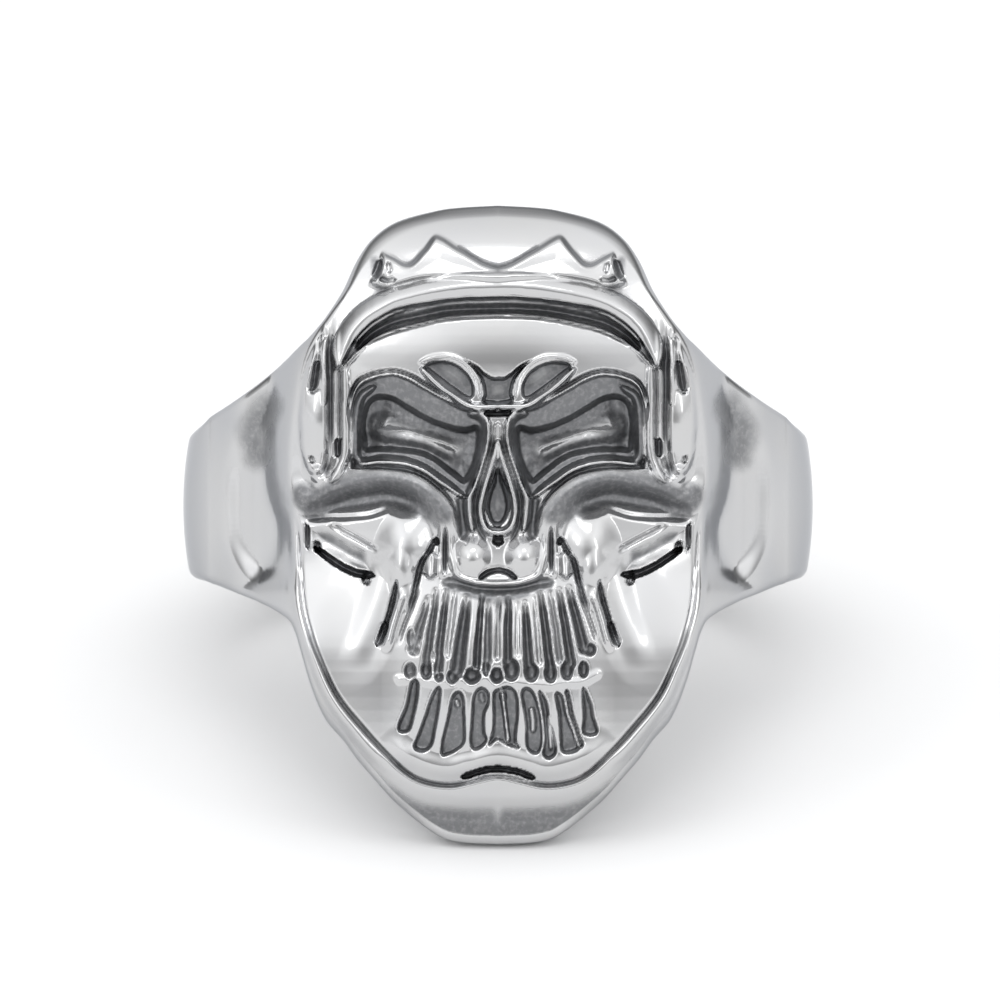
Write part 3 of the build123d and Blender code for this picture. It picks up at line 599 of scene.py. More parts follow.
# Round pits at the feet of the valleys.
Pit = namedtuple("Pit", "centre half_width half_height depth")
FOOT_PITS = (
    Pit((-3.40, -5.30), 0.22, 0.50, 0.20),
    Pit((-3.48, -6.56), 0.28, 0.40, 0.20),
    Pit((-2.84, -6.52), 0.26, 0.42, 0.28),
    Pit((-2.58, -6.0), 0.16, 0.30, 0.18),
    Pit((-2.34, -6.76), 0.20, 0.28, 0.22),
    Pit((-1.80, -6.78), 0.27, 0.36, 0.28),
    Pit((-1.04, -6.74), 0.38, 0.38, 0.32),
    Pit((-0.48, -6.4), 0.20, 0.40, 0.24),
    Pit((-0.04, -6.74), 0.30, 0.38, 0.28),
    Pit((0.52, -6.50), 0.36, 0.54, 0.34),
    Pit((1.30, -6.58), 0.33, 0.46, 0.32),
    Pit((2.06, -6.64), 0.29, 0.42, 0.30),
    Pit((2.74, -6.50), 0.28, 0.46, 0.30),
    Pit((3.40, -6.50), 0.24, 0.38, 0.24),
    Pit((3.64, -5.72), 0.28, 0.30, 0.26),
)
# Outlines of the troughs between the lower ribs.
TROUGHS = (
    ((-3.40, -7.0), (-3.16, -7.1), (-3.28, -8.0), (-3.52, -8.9), (-3.96, -8.84), (-3.64, -8.0)),
    ((-2.56, -7.5), (-2.28, -7.3), (-2.40, -8.3), (-2.68, -9.56), (-3.28, -9.6), (-3.04, -8.9)),
    ((-1.76, -7.56), (-1.52, -7.4), (-1.36, -7.72), (-1.36, -8.68), (-1.4, -9.44), (-2.0, -9.84),
     (-2.24, -9.68), (-1.92, -8.2)),
    ((-0.92, -7.48), (-0.64, -7.24), (-0.36, -7.48), (-0.40, -7.88), (-0.56, -8.28),
     (-0.56, -9.0), (-0.46, -9.32), (-0.8, -9.6), (-1.08, -9.44), (-1.0, -8.2)),
    ((-0.16, -7.48), (0.08, -7.32), (0.4, -7.24), (0.72, -7.48), (0.76, -8.28), (0.68, -9.3),
     (0.8, -9.6), (0.28, -9.4), (-0.04, -9.24), (-0.36, -9.46), (-0.2, -9.0), (-0.14, -8.28)),
    ((0.96, -7.4), (1.36, -7.4), (1.68, -8.28), (1.74, -9.4), (1.54, -9.8), (1.16, -9.56),
     (1.12, -8.6)),
    ((1.64, -7.4), (1.92, -7.8), (2.04, -8.52), (2.24, -9.4), (2.28, -9.8), (2.04, -10.0),
     (1.82, -9.8), (1.86, -9.2), (1.78, -8.28)),
    ((2.28, -7.48), (2.56, -7.6), (2.72, -8.28), (3.04, -9.2), (3.14, -9.64), (2.6, -9.76),
     (2.48, -9.2), (2.44, -8.28)),
    ((3.36, -7.3), (3.64, -7.8), (3.76, -8.4), (3.92, -9.0), (3.4, -9.04), (3.42, -8.4)),
)
# What stands in the troughs and between the rows: threads and beads, and one fine groove.
Thread = namedtuple("Thread", "half_width rise path")
THREADS = (
    Thread(0.07, 0.18, ((0.20, -7.5), (0.30, -8.4), (0.40, -9.3))),
    Thread(0.12, 0.12, ((0.18, -7.44), (0.22, -7.62))),
    Thread(0.12, 0.14, ((1.32, -8.1), (1.38, -8.5), (1.38, -8.9))),
    Thread(0.11, 0.12, ((-1.62, -7.76), (-1.58, -7.92))),
    Thread(0.12, 0.10, ((-0.66, -7.5), (-0.62, -7.72))),
    Thread(0.08, 0.12, ((2.0, -8.4), (2.04, -9.0), (2.1, -9.6))),
    Thread(0.08, -0.24, ((2.72, -7.4), (2.96, -8.4), (3.28, -9.5))),
    Thread(0.16, 0.06, (
        (-3.9, -6.9), (-3.2, -6.86), (-2.4, -7.0), (-1.45, -6.95), (-1.05, -7.12),
        (-0.55, -6.85), (-0.1, -7.1), (0.5, -7.0), (1.3, -7.08), (2.1, -7.1), (2.7, -7.0),
        (3.3, -7.0), (3.9, -6.7))),
)

NEAR_PASSES, FAR_PASSES = 24, 150  # how often a point is averaged with its neighbours
# How dark the painted shade on the flank under the chin is, and how dark the tarnish in the gaps
# between the teeth is.
CHIN_PAINTED_SHADE, TEETH_STAIN = 0.86, 0.95
# How dark the tarnish is on the floor of each pit; on the lid most of that darkness is painted
# shade.
PIT_TARNISH_AND_LID_SHADE = {
    "groove under the brim": 0.14, "lid": 0.92, "eye socket": 0.24,
    "dimple over the brow": 0.30, "frown": 0.35, "nose opening": 0.25,
}
# Soft dull patches of painted shade along a path, which at the corner of the plate also stands for
# tarnish in its pits; below 0 a painted highlight, lighter than round it.
Patch = namedtuple("Patch", "name half_width dark path")
PAINTED_SHADE_AND_TARNISH_PATCHES = (
    Patch("roll under the eye", 0.52, 1.0, (
        (7.8, 0.5), (7.2, 0.24), (6.52, 0.62), (5.52, 0.92), (4.52, 1.0), (3.72, 0.88),
        (3.04, 0.56), (2.5, 0.12), (2.14, -0.4))),
    Patch("lip under the nose", 0.30, 0.90, ((0.0, -3.42), (1.0, -3.36), (2.0, -3.2))),
    Patch("gum", 0.24, 0.70, ((0.0, -3.9), (0.5, -3.7), (1.0, -3.5))),
    Patch("sides of the nose", 0.20, 0.35, ((1.40, 0.6), (1.46, -0.4), (1.3, -1.4))),
    Patch("hollow under the roll", 0.50, 0.78, (
        (7.6, 0.0), (6.6, 0.0), (5.6, 0.1), (4.6, 0.2), (3.8, 0.1), (3.2, -0.3))),
    # Painted dark reflection in the upper part of the shoulder's dish.
    Patch("upper part of the dish", 0.95, 0.80, ((9.2, 3.9), (9.8, 3.0), (9.6, 2.0))),
    # Painted highlight on the lump in the socket.
    Patch("middle of the socket's lump", 0.30, -0.50, ((4.6, 3.2), (3.0, 2.7), (1.7, 2.2))),
    Patch("roof of the socket", 0.30, 0.35, ((5.1, 3.9), (4.2, 3.9), (2.8, 3.3), (1.4, 2.95))),
    Patch("floor of the socket", 0.26, 0.35, ((5.1, 2.35), (3.8, 2.3), (2.4, 1.85), (1.4, 1.2))),
    Patch("corner of the plate", 0.26, 0.85, ((4.9, 9.7), (4.80, 9.2), (4.5, 8.9))),
    # Painted shadow in the plate's middle valley.
    Patch("valley of the plate", 0.12, 0.60, ((0.0, 9.44), (0.8, 9.76), (1.5, 10.2))),
    Patch("arch of the cheek", 0.50, 0.50, ((7.4, -0.9), (6.5, -1.3), (5.6, -1.9))),
)


def swell(distance, half_width, section=SOFT):
    """Cross section of a roll: 1 on its line and 0 past its width. A soft one is a smooth step of
    the distance; a round one is mostly a half circle."""
    share = np.clip(distance / (half_width * (1.6 if section == SOFT else 1.15)), 0.0, 1.0)
    soft = 1.0 - step(share)
    half_circle = np.sqrt(np.clip(1.0 - share**2, 0.0, 1.0))
    return soft if section == SOFT else 0.35 * soft + 0.65 * half_circle


def teeth(x, z):
    """How far the surface is sunk between the ribs of the teeth: the deepest of the valleys, the
    pits at their feet and the troughs of the lower row, less the threads that stand in them."""
    sunk = np.zeros(x.shape)
    # The valleys widen and deepen towards their feet.
    for valley in VALLEYS:
        away, place = distance_to(np.array((valley.top, valley.foot)), x, z)
        share = np.clip(away / (valley.half_width * (0.90 + 0.55 * place)), 0.0, 1.0)
        section = (1.0 - share**2) ** 1.5 * step(0.35 + 2.0 * place)
        sunk = np.maximum(sunk, valley.depth * section)
    for pit in FOOT_PITS:
        off_x, off_z = (x - pit.centre[0]) / pit.half_width, (z - pit.centre[1]) / pit.half_height
        share = np.clip(np.hypot(off_x, off_z), 0.0, 1.0)
        sunk = np.maximum(sunk, pit.depth * (1.0 - share**3) ** 1.5)
    # The troughs have steep walls and a floor that sinks a little further inwards.
    for outline in TROUGHS:
        inside = depth_inside(curve_through(outline, closed=True), x, z)
        floor = 0.22 + 0.2 * np.clip(inside, 0.0, 0.3)
        sunk = np.maximum(sunk, floor * step((inside + 0.10) / 0.17))
    for thread in THREADS:
        away, _ = distance_to(curve_through(thread.path), x, z)
        sunk = sunk - thread.rise * swell(away, thread.half_width)
    return sunk


def round_the_teeth(across, up):
    """Which points lie in the box that the teeth are cut in."""
    return (across < TEETH_REACH) & (up < TEETH_TOP) & (up > TEETH_BOTTOM)


def add_near(height, x, z, line, reach, change):
    """Adds change(x, z) to the heights of the points in the box round a line, widened by reach."""
    low, high = line.min(axis=0) - reach, line.max(axis=0) + reach
    near = (x > low[0]) & (x < high[0]) & (z > low[1]) & (z < high[1])
    height[near] += change(x[near], z[near])


def add_plates(height, across, up):
    """Adds to the heights, for each plate or pit, a smooth step inside its edge and a slope."""
    for plate in PLATES:
        line = curve_through(plate.outline, closed=True)

        def raised(a, b):
            inside = depth_inside(line, a, b)
            wall = plate.rise * step(inside / plate.wall)
            return wall + plate.slope * np.clip(inside, 0.0, plate.reach)

        add_near(height, across, up, line, 0.02, raised)


def add_strokes(height, across, up):
    """Adds a cross section swept along each stroke. A fading one dies away over a fifth of its
    length at both ends, and the others narrow there."""
    for stroke in STROKES:
        line = curve_through(stroke.path)

        def rolled(a, b):
            away, place = distance_to(line, a, b)
            to_end = np.minimum(place, 1.0 - place)
            if stroke.section == FADING:
                return stroke.rise * step(to_end * 5.0) * swell(away, stroke.half_width)
            narrow = 0.45 + 0.55 * np.sqrt(np.clip(to_end * 9.0, 0.0, 1.0))
            return stroke.rise * swell(away / narrow, stroke.half_width, stroke.section)

        add_near(height, across, up, line, SWELL_REACH * stroke.half_width, rolled)


def add_bulbs(height, across, up):
    """Adds each dome: one less the square of the share of its radius, to the power of 1.5."""
    for bulb in BULBS:
        c, s = math.cos(math.radians(bulb.turn)), math.sin(math.radians(bulb.turn))
        off_x, off_z = across - bulb.centre[0], up - bulb.centre[1]
        u = (off_x * c + off_z * s) / bulb.half_width
        v = (off_z * c - off_x * s) / bulb.half_height
        height += bulb.rise * np.clip(1.0 - u**2 - v**2, 0.0, 1.0) ** 1.5


def add_mouth(height, x, up):
    """Adds the swell of the mouth, exp(-u**4 - v**4) with u and v counted in its half sizes, times
    a parabola that falls to 0 at its ends, and cuts the teeth into it."""
    across = np.abs(x)
    u, v = across / MOUTH_HALF_WIDTH, (up - MOUTH_MIDDLE) / MOUTH_HALF_HEIGHT
    swollen = np.exp(-(u**4) - v**4)
    height += MOUTH_SWELL * swollen * np.clip(1.0 - (across / MOUTH_ENDS) ** 2, 0.0, 1.0)
    near = round_the_teeth(across, up)
    height[near] -= TEETH_DEPTH * teeth(x[near], up[near])


def mask_height(x, z, relief):
    """The carved mask: PROFILE(z) - SIDE_DROP * x**2, with the plates, strokes, domes and teeth
    added to it, less the fall of the flank outside the mask's edge. It bows less in the jaw."""
    cast_x = x + CAST_WOBBLE * ripple(x, z, 1.1, 0.3)
    up = z + CAST_WOBBLE * ripple(x, z, 1.2, 1.9)
    across = np.abs(cast_x)
    flatter = 1.0 - JAW_FLATTER * step((-z - 2.0) / 4.0)
    base = table_value(PROFILE, z) - SIDE_DROP * flatter * x**2
    height = np.zeros(x.shape)
    add_plates(height, across, up)
    add_strokes(height, across, up)
    add_bulbs(height, across, up)
    add_mouth(height, cast_x, up)
    socket = curve_through(EYE_SOCKET, closed=True)

    def lumps(a, b):
        return step(depth_inside(socket, a, b) / 0.4) * 0.05 * ripple(a * 1.9, b * 1.6, 0.9, 4.2)

    add_near(height, across, up, socket, 0.02, lumps)
    line = -depth_inside(curve_through(MASK_EDGE, closed=True), np.abs(x), z)
    outside = -depth_inside(curve_through(FLANK_EDGE, closed=True), np.abs(x), z)
    return base + relief * height + edge_line(line, z, relief) - flank_drop(outside, z)


def edge_line(outside, z, relief):
    """A thin groove along the jaw's edge, with a bell curve for its section."""
    low = step((-z - 0.2) / 1.2)
    return -JAW_GROOVE_DEPTH * relief * low * np.exp(-((outside / JAW_GROOVE_WIDTH) ** 2))


def flank_drop(outside, z):
    """How far the mask's flank has fallen at r outside its edge: steep * r**2 / (r + 0.35), which
    starts level and soon runs straight. It is steep beside the temples, gentler along the jaw, and
    a long slope under the chin."""
    steep = FLANK_SLOPE
    for easing in FLANK_EASED:
        steep = steep - easing.by * step((easing.way * z - easing.start) / easing.length)
    start = JAW_ROUNDING * step((-z - 2.4) / 1.2)
    rounded = np.maximum(outside - start + 0.10, 0.0)
    return steep * rounded**2 / (rounded + 0.35)


def band_radius_at(z, sizes):
    """Radius of the band's outside, which is crowned across its width."""
    return sizes.band_radius - BAND_CROWN * (z / BAND_SIDE_HALF) ** 2


def band_depth(x, z, sizes):
    """Depth of the band's crowned outside in front of the bore's axis."""
    radius = band_radius_at(z, sizes)
    return sizes.band_forward + np.sqrt(np.maximum(radius**2 - x**2, 0.0))


def pedestal_height(x, z, sizes):
    """The plain metal round the mask: PEDESTAL(x), which blends into the band's outside where the
    shoulders end, less a shallow dish in each shoulder."""
    edge = SHOULDER_EDGE * sizes.band_radius
    inner = table_value(PEDESTAL, np.minimum(x, edge) / edge)
    at_edge = band_depth(np.full(z.shape, edge), np.minimum(np.abs(z), 3.6), sizes)
    blend = step((x / edge - 0.86) / 0.14)
    dish = curve_through(SHOULDER_DISH, closed=True)
    sunk = np.zeros(x.shape)
    add_near(sunk, x, z, dish, 0.02, lambda a, b: step(depth_inside(dish, a, b) / DISH_WALL))
    return inner + (at_edge - PEDESTAL[-1][1]) * blend - DISH_DEPTH * sunk


def front_height(x, z, sizes):
    """Depth of the ring's front before the bore's axis: the larger of the mask and the plain metal
    round it, with a rounded crossing."""
    across = np.abs(x)
    mask = mask_height(x, z, sizes.face_depth)
    return larger(mask, pedestal_height(across, z, sizes), FLANK_BLEND)


# The casting's whole surface.


FINE_REACH, MASK_REACH = 6.4, 8.5  # the columns are closest up to here, and the mask ends here
FINE_COLUMNS, FACE_COLUMNS = 118, 150
SHOULDER_COLUMNS, BAND_COLUMNS = 22, 33
OUTER_ROWS, BORE_ROWS = 396, 12
CORNER_ROWS, LAND_ROWS = 6, 3  # round each edge of the wall, and between its two edges
EDGE_ROUND, BORE_EDGE_ROUND = 0.42, 0.28  # radii of the wall's outer and inner edges
BORE_FLARE = 0.9  # the bore widens by this much towards the head's ends
CHIN_LIFT = 0.16  # the chin's inner edge is kept this far above its outline, clear of the floor


def columns(sizes):
    """Places round half of the ring, from the middle of the face to the middle of the back.

    Each is how far across its outside point is on the face (nan past the shoulders), the turn of
    its outside point about the band's centre, and the turn of its bore point, in radians.
    """
    edge = SHOULDER_EDGE * sizes.band_radius
    fine = np.linspace(0.0, FINE_REACH, FINE_COLUMNS)
    wider = np.linspace(FINE_REACH, MASK_REACH, FACE_COLUMNS - FINE_COLUMNS + 1)[1:]
    shoulder = MASK_REACH + (edge - MASK_REACH) * np.linspace(0.0, 1.0, SHOULDER_COLUMNS + 1)[1:]
    front = np.concatenate([fine, wider, shoulder])
    turn = np.linspace(math.asin(SHOULDER_EDGE), math.pi, BAND_COLUMNS + 1)[1:]
    across = np.concatenate([front, np.full(len(turn), np.nan)])
    outside_turn = np.concatenate([np.zeros(len(front)), turn])
    flat = np.nan_to_num(across, nan=1.0)
    depth = pedestal_height(flat, np.zeros(flat.shape), sizes)
    plan = np.where(np.isnan(across), outside_turn, np.arctan2(np.nan_to_num(across), depth))
    behind = np.arcsin(np.clip(np.nan_to_num(across, nan=0.0) / sizes.bore_radius, 0.0, 0.9999))
    first = FACE_COLUMNS - 1
    share = (plan - plan[first]) / (math.pi - plan[first])
    swept = behind[first] + (math.pi - behind[first]) * share
    bore_turn = np.where(np.arange(len(across)) <= first, behind, swept)
    return across, outside_turn, bore_turn


def ends_of(x_flat, outside_turn, on_face, sizes):
    """Lower and upper end of the wall in each column, from the outline seen from the front."""
    ends = np.array(OUTLINE)
    reach = np.minimum(x_flat, ends[-1, 0])
    upper = table_value(ends[:, :2], reach)
    lower = table_value(ends[:, ::2], reach)
    past = (outside_turn > math.pi / 2) & ~on_face
    back = step((outside_turn - math.pi / 2) / (math.pi / 2))
    half_width = BAND_SIDE_HALF + (sizes.band_width / 2 - BAND_SIDE_HALF) * back
    upper = np.where(past, half_width, upper)
    lower = np.where(past, -half_width, lower)
    return lower, upper


def casting(sizes, side):
    """Half of the casting as a tube with open ends: columns run round the ring and rows run round
    its wall. Going round the wall, the rows climb the outside, cross the upper end, go down the
    bore and cross the lower end. The side is 1 for the right half and -1 for the left."""
    across, outside_turn, bore_turn = columns(sizes)
    on_face = ~np.isnan(across)
    flat = np.nan_to_num(across)
    x_flat = np.where(on_face, flat, sizes.band_radius * np.sin(outside_turn))
    lower, upper = ends_of(x_flat, outside_turn, on_face, sizes)
    in_mask = (np.arange(len(across)) < FACE_COLUMNS)[:, None]
    # On the shoulders the wall's outside faces more and more sideways, and so do its rounded edges.
    lean_out = np.where(on_face, np.arctan2(x_flat * step((x_flat - 8.0) / 3.0), 6.0), 0.0)
    start = math.asin(SHOULDER_EDGE)
    round_band = np.clip((outside_turn - start) / (math.pi - start), 0.0, 1.0)

    def outside_point(z, sink=0.0):
        """The outside at height z in each column, sunk into the wall by a distance."""
        x = np.where(on_face, flat, 0.0)[:, None] + np.zeros(z.shape)
        depth = front_height(side * x, z, sizes)
        radius = band_radius_at(z, sizes)
        first = np.arcsin(np.minimum(SHOULDER_EDGE * sizes.band_radius / radius, 1.0))
        turn = first + (math.pi - first) * round_band[:, None]
        turned_x = (radius - sink) * np.sin(turn)
        turned_f = sizes.band_forward + (radius - sink) * np.cos(turn)
        sunk_x = x - sink * np.sin(lean_out)[:, None]
        sunk_f = depth - sink * np.cos(lean_out)[:, None]
        right = np.where(on_face[:, None], sunk_x, turned_x)
        forward = np.where(on_face[:, None], sunk_f, turned_f)
        return np.stack([side * right, forward, z], axis=-1)

    def bore_point(z, lift=0.0):
        """The bore at height z in each column, widened by a distance."""
        straight = sizes.bore_straight / 2
        above = (z - straight) / (HEAD_TOP - straight)
        below = (-z - straight) / (CHIN_FOOT - straight)
        radius = sizes.bore_radius + BORE_FLARE * np.maximum(np.maximum(above, below), 0.0) + lift
        behind_mask = flat[:, None] + np.zeros(z.shape)
        right = np.where(in_mask, behind_mask, radius * np.sin(bore_turn)[:, None])
        behind_mask = np.sqrt(np.maximum(radius**2 - right**2, 0.0))
        forward = np.where(in_mask, behind_mask, radius * np.cos(bore_turn)[:, None])
        return np.stack([side * right, forward, z], axis=-1)

    # The inner ends keep within the outline too, though they lie at another distance across than
    # the outer ends of their columns. The bore is taken as 6 % wider there.
    ends = np.array(OUTLINE)
    bore_x = np.where(in_mask[:, 0], flat, 1.06 * sizes.bore_radius * np.sin(bore_turn))
    upper_in = np.where(on_face, np.minimum(upper, table_value(ends[:, :2], bore_x)), upper)
    lower_in = np.where(on_face, np.maximum(lower, table_value(ends[:, ::2], bore_x)), lower)
    lower_in = lower_in + CHIN_LIFT * step((-lower - 12.0) / 1.4)

    rise, drop = np.linspace(0.0, 1.0, OUTER_ROWS), np.linspace(0.0, 1.0, BORE_ROWS)
    length = (upper - lower - 2 * EDGE_ROUND)[:, None]
    climb = outside_point((lower + EDGE_ROUND)[:, None] + length * rise)
    length = (lower_in - upper_in + 2 * BORE_EDGE_ROUND)[:, None]
    fall = bore_point((upper_in - BORE_EDGE_ROUND)[:, None] + length * drop)
    corner = np.linspace(0.0, 1.0, CORNER_ROWS + 1)[1:] * math.pi / 2
    between = np.linspace(0.0, 1.0, LAND_ROWS + 2)[1:-1]

    def edge(point, end, radius, way):
        """Rows round an edge: a quarter circle that ends at the end of the wall."""
        return [point((end + way * (radius * math.sin(a) - radius))[:, None],
                      radius * (1 - math.cos(a))) for a in corner]

    over_out = edge(outside_point, upper, EDGE_ROUND, 1)
    over_in = edge(bore_point, upper_in, BORE_EDGE_ROUND, 1)[::-1]
    under_in = edge(bore_point, lower_in, BORE_EDGE_ROUND, -1)
    under_out = edge(outside_point, lower, EDGE_ROUND, -1)[::-1]
    over = [over_out[-1] * (1 - share) + over_in[0] * share for share in between]
    under = [under_in[-1] * (1 - share) + under_out[0] * share for share in between]
    rows = [climb, *over_out, *over, *over_in, fall, *under_in, *under, *under_out]
    return np.concatenate(rows, axis=1)


def blurred(values, passes):
    """Values on a grid, averaged with their neighbours again and again; rows close on themselves
    and the first and last columns mirror their neighbours."""
    for _ in range(passes):
        values = (np.roll(values, 1, 1) + 2 * values + np.roll(values, -1, 1)) / 4
        wide = np.concatenate([values[1:2], values, values[-2:-1]])
        values = (wide[:-2] + 2 * wide[1:-1] + wide[2:]) / 4
    return values


def tarnish_and_shade_of(grid):
    """Tarnish and painted shade, 0 to 1: tarnish at each point of the mask by how far it lies below
    the average of its neighbours, on the floors of the pits and in the gaps between the teeth;
    painted shade on the lid, in the soft patches and on the flank under the chin. The bore and the
    back of the band stay clean."""
    across, depth, up = np.abs(grid[..., 0]), grid[..., 1], grid[..., 2]
    reach = np.hypot(grid[..., 0] * 0.35, depth)
    near = (blurred(reach, NEAR_PASSES) - reach) / 0.10
    far = (blurred(reach, FAR_PASSES) - reach) / 0.55
    tarnish_and_shade_mask = np.clip(0.50 * near + 0.30 * far, 0.0, 1.0)
    # Tarnish on the floors of the pits; on the lid it is painted shade for the most part.
    for plate in PLATES:
        if plate.name in PIT_TARNISH_AND_LID_SHADE:
            line, dark = curve_through(plate.outline, closed=True), PIT_TARNISH_AND_LID_SHADE[plate.name]
            add_near(tarnish_and_shade_mask, across, up, line, 0.02,
                     lambda a, b: dark * step(depth_inside(line, a, b) / 0.2))
    front = step((depth - 9.5) / 1.5) * step((8.6 - across) / 0.6)
    tarnish_and_shade_mask = np.clip(tarnish_and_shade_mask, 0.0, 1.0) * front
    # Painted shade in soft patches, and a painted highlight where a patch is below 0.
    for shade_patch in PAINTED_SHADE_AND_TARNISH_PATCHES:
        line = curve_through(shade_patch.path)
        add_near(tarnish_and_shade_mask, across, up, line, SWELL_REACH * shade_patch.half_width,
                 lambda a, b: shade_patch.dark * swell(distance_to(line, a, b)[0], shade_patch.half_width))
    # Painted shade on the downward flank under the chin.
    outside = -depth_inside(curve_through(FLANK_EDGE, closed=True), across, up)
    under_chin = step((outside - 0.15) / 1.0) * step((-up - 4.0) / 5.0)
    tarnish_and_shade_mask = np.maximum(tarnish_and_shade_mask, CHIN_PAINTED_SHADE * under_chin)
    mouth = round_the_teeth(across, up)
    sunk = teeth(grid[..., 0][mouth], up[mouth])
    tarnish_and_shade_mask[mouth] = np.maximum(tarnish_and_shade_mask[mouth], TEETH_STAIN * step((sunk - 0.05) / 0.18))
    tarnish_and_shade_mask[:, OUTER_ROWS:] = 0.0
    return np.clip(tarnish_and_shade_mask, 0.0, 1.0) * step((depth - 3.0) / 2.0)


def to_world(grid):
    """Ring frame in millimetres to the shared frame in metres."""
    right = np.array([1.0, 0.0, 0.0])
    forward = np.array([0.0, -math.cos(LEAN), math.sin(LEAN)])
    axes = np.stack([right, forward, BORE_AXIS])
    return BORE_CENTRE + grid @ axes * MM


def surface_normals(points):
    """Unit normals of a grid whose rows close on themselves and whose first and last columns lie
    in the mirror plane, from the slopes along columns and rows."""
    mirror = np.array([-1.0, 1.0, 1.0])
    wide = np.concatenate([points[1:2] * mirror, points, points[-2:-1] * mirror])
    along = wide[2:] - wide[:-2]
    round_wall = np.roll(points, -1, 1) - np.roll(points, 1, 1)
    normal = np.cross(along, round_wall)
    return normal / np.linalg.norm(normal, axis=-1, keepdims=True)


def mesh_of_half(name, grid, side, attributes):
    """Makes a closed mesh of half of the casting: quads between neighbouring grid points, and a
    flat lid over each cut, which the other half hides."""
    cols, rows = grid.shape[:2]
    index = np.arange(cols * rows).reshape(cols, rows)
    up = np.roll(index, -1, 1)
    quads = np.stack([index[:-1], index[1:], up[1:], up[:-1]], axis=-1).reshape(-1, 4)
    lids = [index[0], index[-1, ::-1]]
    world = to_world(grid)
    normals = surface_normals(world)
    if side < 0:
        quads, lids = quads[:, ::-1], [lid[::-1] for lid in lids]
        normals = -normals
    loops = np.concatenate([quads.ravel(), *lids]).astype(np.int32)
    starts = np.arange(0, quads.size, 4)
    starts = np.concatenate([starts, [quads.size, quads.size + rows]]).astype(np.int32)
    mesh = bpy.data.meshes.new(name)
    mesh.vertices.add(cols * rows)
    mesh.vertices.foreach_set("co", world.ravel())
    mesh.loops.add(len(loops))
    mesh.loops.foreach_set("vertex_index", loops)
    mesh.polygons.add(len(starts))
    mesh.polygons.foreach_set("loop_start", starts)
    mesh.polygons.foreach_set("use_smooth", np.ones(len(starts), dtype=bool))
    mesh.update(calc_edges=True)
    for label, values in attributes.items():
        layer = mesh.attributes.new(label, "FLOAT", "POINT")
        layer.data.foreach_set("value", values.ravel().astype(np.float32))
    mesh.normals_split_custom_set_from_vertices(normals.reshape(-1, 3))
    return mesh


# Operators, stage and panel.


class RING_OT_casting(bpy.types.Operator):
    """Sculpts the ring and skull mask, as a left and a right half that meet in the middle"""

    bl_idname = "ring.casting"
    bl_label = "Cast ring"

    def execute(self, context):
        sizes, look = context.scene.ring_sizes, context.scene.ring_finish
        steel = steel_material(look)
        for name, side in (("skull_ring_right", 1), ("skull_ring_left", -1)):
            grid = casting(sizes, side)
            # The attribute carries tarnish and painted shade for the steel's colour.
            mesh = mesh_of_half(name, grid, side, {"tarnish_and_shade": tarnish_and_shade_of(grid)})
            mesh.materials.append(steel)
            piece = bpy.data.objects.new(name, mesh)
            context.scene.collection.objects.link(piece)
            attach(piece, "root")
            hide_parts("skull_ring")
        return {"FINISHED"}


class RING_OT_stage(bpy.types.Operator):
    """Lays the floor, hangs the soft lamps and sets the camera straight before the face"""

    bl_idname = "ring.stage"
    bl_label = "Stage"

    def execute(self, context):
        studio = context.scene.ring_studio
        floor = bpy.data.meshes.new("floor")
        far = FLOOR_REACH
        corners = [(-far, -far, 0), (far, -far, 0), (far, far, 0), (-far, far, 0)]
        floor.from_pydata(corners, [], [(0, 1, 2, 3)])
        floor.materials.append(floor_material(studio.floor))
        floor = bpy.data.objects.new("floor", floor)
        context.scene.collection.objects.link(floor)
        make_lamps(context.scene, studio)
        make_camera(context.scene, studio)
        make_world(context.scene)
        return {"FINISHED"}


# The lamps: place, width and height in metres, brightness against white card.
SoftBox = namedtuple("SoftBox", "name place size white")
SOFT_BOXES = (
    SoftBox("top_box", (0.0, -0.10, 0.50), (0.40, 0.14), 2.2),
    SoftBox("left_box", (-0.40, -0.30, 0.30), (0.10, 0.26), 1.6),
    SoftBox("right_box", (0.42, -0.26, 0.26), (0.08, 0.26), 1.4),
)
FLOOR_REACH = 1.5
PICTURE_WIDTH = 0.040  # how much the camera sees across, at its target
SENSOR = 36.0  # mm


def make_lamps(scene, studio):
    """Soft boxes, each aimed at the ring, with a brightness against white card."""
    target = Vector((0.0, 0.0, 0.012))
    for box in SOFT_BOXES:
        lamp = bpy.data.lights.new(box.name, "AREA")
        lamp.shape, lamp.size, lamp.size_y = "ELLIPSE", *box.size
        lamp.energy = studio.brightness * box.white * math.pi * box.size[0] * box.size[1]
        holder = bpy.data.objects.new(box.name, lamp)
        holder.location = box.place
        holder.rotation_euler = (target - Vector(box.place)).to_track_quat("-Z", "Y").to_euler()
        scene.collection.objects.link(holder)


def make_camera(scene, studio):
    """A long lens straight before the face, as high above the floor as the face leans back."""
    lens = bpy.data.cameras.new("camera")
    lens.sensor_width = SENSOR
    target = Vector(to_world(np.array([0.08, 8.0, 0.2])))
    back = Vector((0.0, -math.cos(LEAN), math.sin(LEAN)))
    lens.lens = SENSOR * studio.distance / PICTURE_WIDTH
    camera = bpy.data.objects.new("camera", lens)
    camera.location = target + back * studio.distance
    camera.rotation_euler = (-back).to_track_quat("-Z", "Y").to_euler()
    lens.clip_start, lens.clip_end = 0.01, 10.0
    scene.collection.objects.link(camera)
    scene.camera = camera


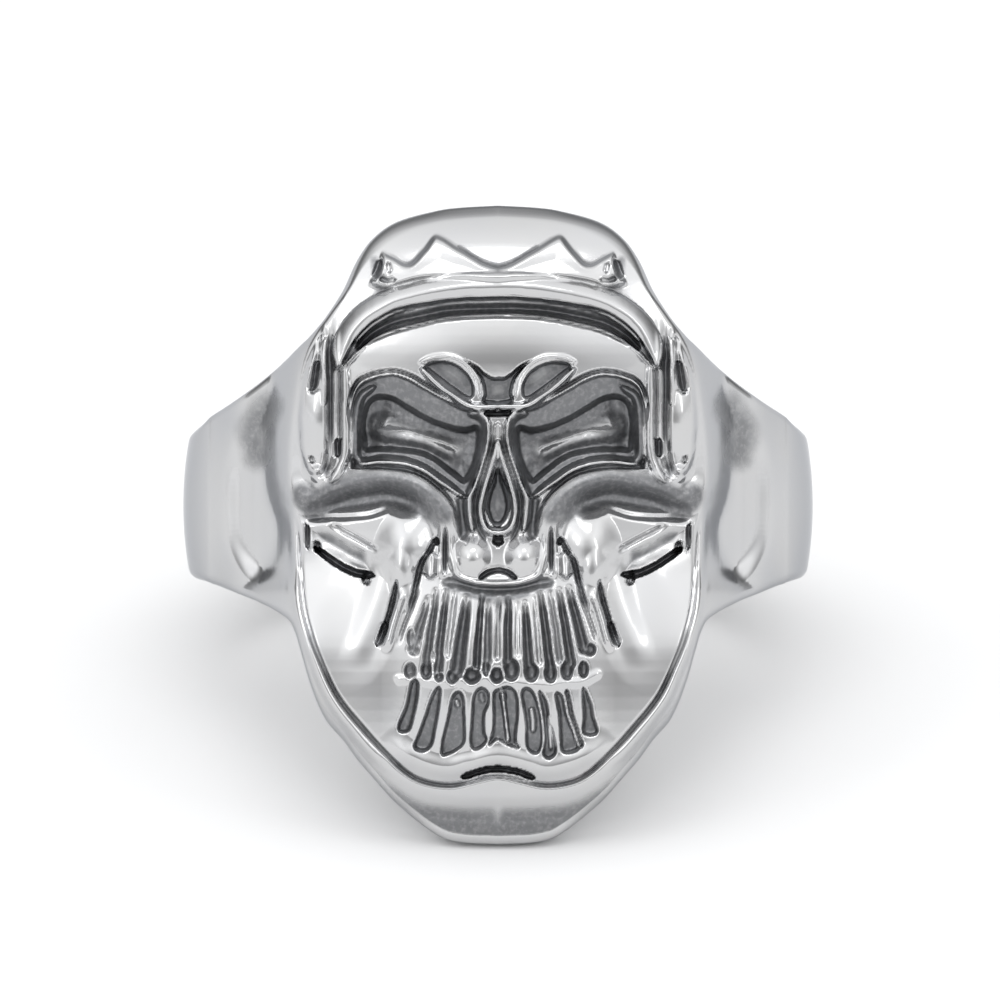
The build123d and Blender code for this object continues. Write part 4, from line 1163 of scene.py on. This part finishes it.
# The studio's walls and ceiling.
Glow = namedtuple("Glow", "direction tightness bright")
GLOWS = (
    Glow((0.0, -0.86, 0.50), 6.0, 0.36),
    Glow((-0.60, -0.20, 0.77), 7.0, 0.26),
    Glow((0.56, -0.15, 0.81), 7.0, 0.22),
    Glow((0.0, 0.25, 0.97), 3.0, 0.60),
    Glow((-0.90, -0.35, 0.30), 9.0, 0.80),
    Glow((0.90, -0.30, 0.26), 9.0, 0.68),
    Glow((0.0, 0.80, 0.60), 5.0, 0.10),
)


def make_world(scene):
    """Walls that are dim at the horizon and lighter upwards, with broad glows before, above and on
    each side."""
    world = bpy.data.worlds.new("studio")
    world.use_nodes = True
    scene.world = world
    walls = Nodes(world.node_tree)
    place = walls.node("ShaderNodeTexCoord").outputs["Generated"]
    split = walls.node("ShaderNodeSeparateXYZ", None, {0: place})
    up = Value(walls, split.outputs["Z"])
    light = up.between(0.16, 0.75) * 0.32 + (1.0 - up.between(-0.05, 0.17)) * 0.42 + 0.13
    for glow in GLOWS:
        towards = walls.node("ShaderNodeVectorMath", {"operation": "DOT_PRODUCT"},
                             {0: place, 1: tuple(Vector(glow.direction).normalized())})
        facing = Value(walls, towards.outputs["Value"])
        light = light + facing.between(-0.2, 1.0) ** glow.tightness * glow.bright
    paint = walls.node("ShaderNodeBackground", None,
                       {"Color": (0.985, 0.99, 1.0, 1.0), "Strength": light})
    walls.node("ShaderNodeOutputWorld", None, {"Surface": paint.outputs[0]})
    scene.view_settings.view_transform = "Standard"


class RING_PT_panel(bpy.types.Panel):
    """Buttons and sizes for the ring"""

    bl_label = "Skull ring"
    bl_space_type = "VIEW_3D"
    bl_region_type = "UI"
    bl_category = "Ring"

    def draw(self, context):
        for group in ("ring_sizes", "ring_finish", "ring_studio"):
            holder = getattr(context.scene, group)
            for name in holder.__annotations__:
                self.layout.prop(holder, name)
        for operator in (RING_OT_casting, RING_OT_stage):
            self.layout.operator(operator.bl_idname)


CLASSES = (RingSizes, SteelFinish, Studio, RING_OT_casting, RING_OT_stage, RING_PT_panel)


def register():
    for one in CLASSES:
        bpy.utils.register_class(one)
    bpy.types.Scene.ring_sizes = bpy.props.PointerProperty(type=RingSizes)
    bpy.types.Scene.ring_finish = bpy.props.PointerProperty(type=SteelFinish)
    bpy.types.Scene.ring_studio = bpy.props.PointerProperty(type=Studio)


def unregister():
    del bpy.types.Scene.ring_sizes, bpy.types.Scene.ring_finish, bpy.types.Scene.ring_studio
    for one in reversed(CLASSES):
        bpy.utils.unregister_class(one)


def main():
    register()
    bpy.ops.ring.stage()
    bpy.ops.ring.casting()


if __name__ == "__main__":
    main()
